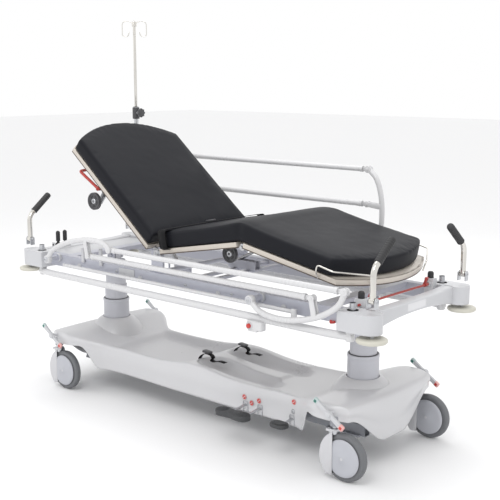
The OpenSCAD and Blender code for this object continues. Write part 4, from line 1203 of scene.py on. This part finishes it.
def build_platform_fittings():
    wires = bmesh.new()
    for s in (-1, 1):
        route = [(0.425, s * 0.330, 0.006), (0.425, s * 0.350, 0.034), (0.425, s * 0.350, 0.064),
                 (0.505, s * 0.350, 0.060), (0.592, s * 0.205, 0.050), (0.590, s * 0.192, 0.006)]
        sweep(wires, [AT_LEG @ p for p in rounded(route, 0.016, 6)], 0.0035, 14)
    piece("mattress_retainers", wires, "leg", CHROME, ["retainer_wires"])
    lever = bmesh.new()
    route = [(-0.455, -0.319, -0.014), (-0.606, -0.319, -0.040), (-0.612, -0.266, -0.041)]
    sweep(lever, [AT_BACK @ p for p in rounded(route, 0.014, 6)], 0.0075, 20, 1.0, 0.002)
    disc_on(lever, AT_BACK @ Vector((-0.455, -0.308, -0.014)), Y, 0.005, 0.044, 0.0005, 20)
    disc_on(lever, AT_BACK @ Vector((-0.455, -0.315, -0.014)), Y, 0.011, 0.022, 0.002, 28)
    piece("backrest_release_lever", lever, "back_release_lever", RED_PAINT, ["back_release_lever"])
    for name, place, radius, width, body in (
            ("strap_reel_back", AT_BACK @ moved(-0.425, -0.334, -0.068), 0.042, 0.018, "strap_reel_back"),
            ("strap_reel_seat", AT_SEAT @ moved(0.420, -0.272, -0.026), 0.0399, 0.0162, "strap_reel_seat")):
        wheel, hub = bmesh.new(), bmesh.new()
        h = width / 2
        lathe(wheel, [(0.0136, -h * 0.5), (radius * 0.80, -h * 0.62), (radius * 0.84, -h), (radius * 0.97, -h),
                      (radius, -h + 0.002), (radius, h - 0.002), (radius * 0.97, h), (radius * 0.84, h),
                      (radius * 0.80, h * 0.62), (0.0136, h * 0.5), (0.0136, -h * 0.5)], place @ along(Y), 56)
        slots = bmesh.new()
        for turn in range(5):
            for face in (-1, 1):
                route = [Vector((radius * 0.58 * math.cos(a), face * h * 0.60, radius * 0.58 * math.sin(a)))
                         for a in (math.radians(turn * 72 + step * 6) for step in range(8))]
                sweep(slots, [place @ p for p in route], 0.0042, 12, 0.25, 0.001)
        piece(name + "_slots", slots, body, GRIP_BLACK)
        piece(name + "_wheel", wheel, body, DARK_PLASTIC, [name])
        lathe(hub, [(0.0062, -h), (0.0115, -h), (0.0135, -h * 0.7), (0.0135, h * 0.7), (0.0115, h), (0.0062, h),
                    (0.0062, -h)], place @ along(Y), 32)
        piece(name + "_hub", hub, body, STEEL)
    eased("gas_spring_rod", STEEL, 0.0006)
    eased("gas_spring_cylinder", CASTING_WHITE, 0.001)
    eased("knee_strut", STEEL, 0.0008)
    for node, slot_name in (("tilt_bar", "red_metal"), ("tilt_grips", "dark_plastic")):
        eased(node, RED_PAINT if node == "tilt_bar" else GRIP_BLACK, 0.002, 3)


# ---------- infusion pole ----------

def build_pole():
    eased("iv_tube", STEEL, 0.001)
    x, y = -0.985, 0.335
    collar = bmesh.new()
    lathe(collar, [(0.0126, 1.366), (0.0185, 1.367), (0.0195, 1.372), (0.0195, 1.424), (0.0175, 1.4305),
                   (0.0125, 1.4335), (0.0083, 1.4335)], moved(x, y, 0), 40)
    piece("pole_collar", collar, "upper_frame", DARK_PLASTIC)
    knob = bmesh.new()
    lathe(knob, [(0, 0.0485), (0.016, 0.0485), (0.0215, 0.0465), (0.0228, 0.0430), (0.0228, 0.0350),
                 (0.0205, 0.0325), (0.010, 0.0320), (0.0085, 0.025), (0.0040, 0.0245), (0.0040, 0.0095), (0, 0.0095)],
          moved(x, y, 1.400) @ along(X), 48)
    for turn in range(8):
        place = moved(x, y, 1.400) @ turned("X", turn * 45) @ moved(0.0415, 0.0205, 0)
        lathe(knob, [(0, -0.0065), (0.0040, -0.0065), (0.0046, -0.004), (0.0046, 0.004), (0.0040, 0.0065),
                     (0, 0.0065)],
              place @ along(X), 16)
    piece("pole_clamp_knob", knob, "iv_knob", DARK_PLASTIC, ["iv_knob"])
    rod = bmesh.new()
    lathe(rod, [(0, 1.240), (0.0070, 1.240), (0.0080, 1.242), (0.0080, 1.8675), (0, 1.8675)], moved(x, y, 0), 32)
    piece("pole_rod", rod, "iv_rod", CHROME, ["iv_rod"])
    hooks = bmesh.new()
    lathe(hooks, [(0.0081, 1.867), (0.0118, 1.867), (0.0130, 1.870), (0.0130, 1.889), (0.0105, 1.8935), (0, 1.8945)],
          moved(x, y, 0), 32)
    for turn in (45, 135, 225, 315):
        place = moved(x, y, 0) @ turned("Z", turn)
        route = rounded([(0.004, 0, 1.882), (0.034, 0, 1.900), (0.066, 0, 1.890), (0.066, 0, 1.814),
                         (0.034, 0, 1.814), (0.028, 0, 1.840)], 0.018, 7)
        sweep(hooks, [place @ p for p in route], 0.0026, 12, 1.0, 0.0006)
    piece("pole_hooks", hooks, "iv_rod", CHROME, ["iv_hooks"])


# ---------- straps ----------

def ribbon(bm, route, width, across=Y):
    """Flat webbing along a route; across is the direction of its width."""
    route = [Vector(p) for p in route]
    across = Vector(across)
    start = [bm.verts.new(route[0] - across * width / 2), bm.verts.new(route[0] + across * width / 2)]
    edge = bm.edges.new(start)
    for before, here in zip(route, route[1:]):
        out = bmesh.ops.extrude_edge_only(bm, edges=[edge])["geom"]
        verts = [g for g in out if isinstance(g, bmesh.types.BMVert)]
        edge = next(g for g in out if isinstance(g, bmesh.types.BMEdge) and set(g.verts) == set(verts))
        bmesh.ops.translate(bm, vec=here - before, verts=verts)


def strap_piece(name, bm, body, thick):
    obj = piece(name, bm, body, WEBBING, (), 70)
    wall = obj.modifiers.new("weave thickness", "SOLIDIFY")
    wall.thickness = thick
    wall.offset = 0
    return obj


def buckle(bm, place):
    """Side-release buckle with a centre bar."""
    outer = [(-0.020, -0.016), (0.020, -0.016), (0.024, -0.008), (0.024, 0.008), (0.020, 0.016), (-0.020, 0.016),
             (-0.024, 0.008), (-0.024, -0.008)]
    plate(bm, outer, -0.0045, 0.0045, 0.003, place, 3)
    for s in (-1, 1):
        block(bm, (-0.017, s * 0.014 - 0.003, -0.003), (0.002, s * 0.014 + 0.003, 0.003), 0.002, place)


def build_straps():
    hip = bmesh.new()
    top = PAD_LIFT + PAD_T + 0.0125
    out_y = PAD_SIDE + 0.0075
    x_hip = 0.085
    half_route = [(-0.3245, 0.020), (-out_y, 0.030), (-out_y - 0.001, 0.060), (-out_y, top - 0.012),
                  (-out_y + 0.010, top - 0.001), (-0.20, top)]
    section = [(x_hip, y, z) for y, z in half_route] + [(x_hip, 0.0, top + 0.001)]
    section += [(x_hip, -y, z) for y, z in reversed(half_route)]
    ribbon(hip, rounded(section, 0.010, 3), 0.048, X)
    bmesh.ops.transform(hip, matrix=AT_SEAT, verts=hip.verts)
    strap_piece("hip_strap", hip, "seat", 0.0018)
    clip = bmesh.new()
    buckle(clip, AT_SEAT @ moved(x_hip, -0.02, top + 0.006) @ turned("Z", 90))
    piece("hip_strap_buckle", clip, "seat", DARK_PLASTIC)
    for tag, x, y in (("near", -0.015, -0.105), ("far", 0.030, 0.100)):
        strap = bmesh.new()
        loop = [(x - 0.070, y + 0.010, 0.258), (x - 0.045, y - 0.006, 0.280), (x - 0.010, y - 0.010, 0.300),
                (x + 0.020, y - 0.004, 0.296), (x + 0.030, y + 0.002, 0.280), (x + 0.010, y + 0.004, 0.266),
                (x + 0.035, y + 0.000, 0.262), (x + 0.075, y - 0.004, 0.276), (x + 0.110, y - 0.002, 0.272)]
        ribbon(strap, rounded(loop, 0.02, 5), 0.025, Y)
        strap_piece("bottle_strap_" + tag, strap, "base", 0.0016)
        clip = bmesh.new()
        buckle(clip, moved(x - 0.004, y - 0.006, 0.306) @ turned("Y", 4))
        piece("bottle_buckle_" + tag, clip, "base", DARK_PLASTIC)


# ---------- room ----------

def build_room():
    floor = bpy.data.meshes.new("floor")
    bm = bmesh.new()
    bmesh.ops.create_grid(bm, x_segments=1, y_segments=1, size=30)
    bm.to_mesh(floor)
    bm.free()
    ground = bpy.data.objects.new("floor", floor)
    ground.location.z = -0.0005
    bpy.context.scene.collection.objects.link(ground)
    paint = bpy.data.materials.new("pale floor")
    paint.use_nodes = True
    shader = paint.node_tree.nodes["Principled BSDF"]
    shader.inputs["Base Color"].default_value = (0.92, 0.92, 0.925, 1)
    shader.inputs["Roughness"].default_value = 0.9
    ground.data.materials.append(paint)
    world = bpy.data.worlds.new("studio")
    bpy.context.scene.world = world
    world.use_nodes = True
    world.node_tree.nodes["Background"].inputs[0].default_value = (1.0, 1.0, 1.0, 1)
    world.node_tree.nodes["Background"].inputs[1].default_value = 1.0
    for name, place, power, size in (("key", (1.4, -3.4, 4.4), 55, 2.2), ("fill", (-3.6, -2.4, 2.6), 12, 3.2),
                                     ("top", (-0.6, 0.6, 4.6), 50, 2.6), ("back", (-1.5, 4.0, 3.0), 12, 3.0)):
        data = bpy.data.lights.new(name, "AREA")
        data.energy, data.size = power, size
        lamp = bpy.data.objects.new(name, data)
        lamp.location = place
        lamp.rotation_mode = "QUATERNION"
        lamp.rotation_quaternion = (Vector((0, 0, 0.6)) - Vector(place)).to_track_quat("-Z", "Y")
        bpy.context.scene.collection.objects.link(lamp)
    bpy.context.scene.view_settings.view_transform = "Standard"


def build_camera():
    """Stands off the near foot corner at head height of a seated person."""
    yaw, pitch = math.radians(41.306), math.radians(10.271)
    data = bpy.data.cameras.new("camera")
    data.lens, data.sensor_width = 69.07, 36
    cam = bpy.data.objects.new("camera", data)
    back = Vector((math.sin(yaw) * math.cos(pitch), -math.cos(yaw) * math.cos(pitch), math.sin(pitch)))
    cam.location = (3.05, -3.296, 1.60)
    cam.rotation_mode = "QUATERNION"
    cam.rotation_quaternion = (-back).to_track_quat("-Z", "Y")
    bpy.context.scene.collection.objects.link(cam)
    bpy.context.scene.camera = cam


build_camera()
build_room()
build_base()
for end_name, end_sign in ENDS:
    for side_name, side_sign in SIDES:
        build_castor(end_name, side_name, end_sign, side_sign)
        build_push_handle(end_name, side_name, end_sign, side_sign)
    build_brakes(end_name, end_sign)
for side_name, side_sign in SIDES:
    build_pedals(side_name, side_sign)
build_castings()
build_bumpers()
build_frame_fittings()
build_side_rails()
build_platforms()
build_mattress()
build_platform_fittings()
build_pole()
build_straps()
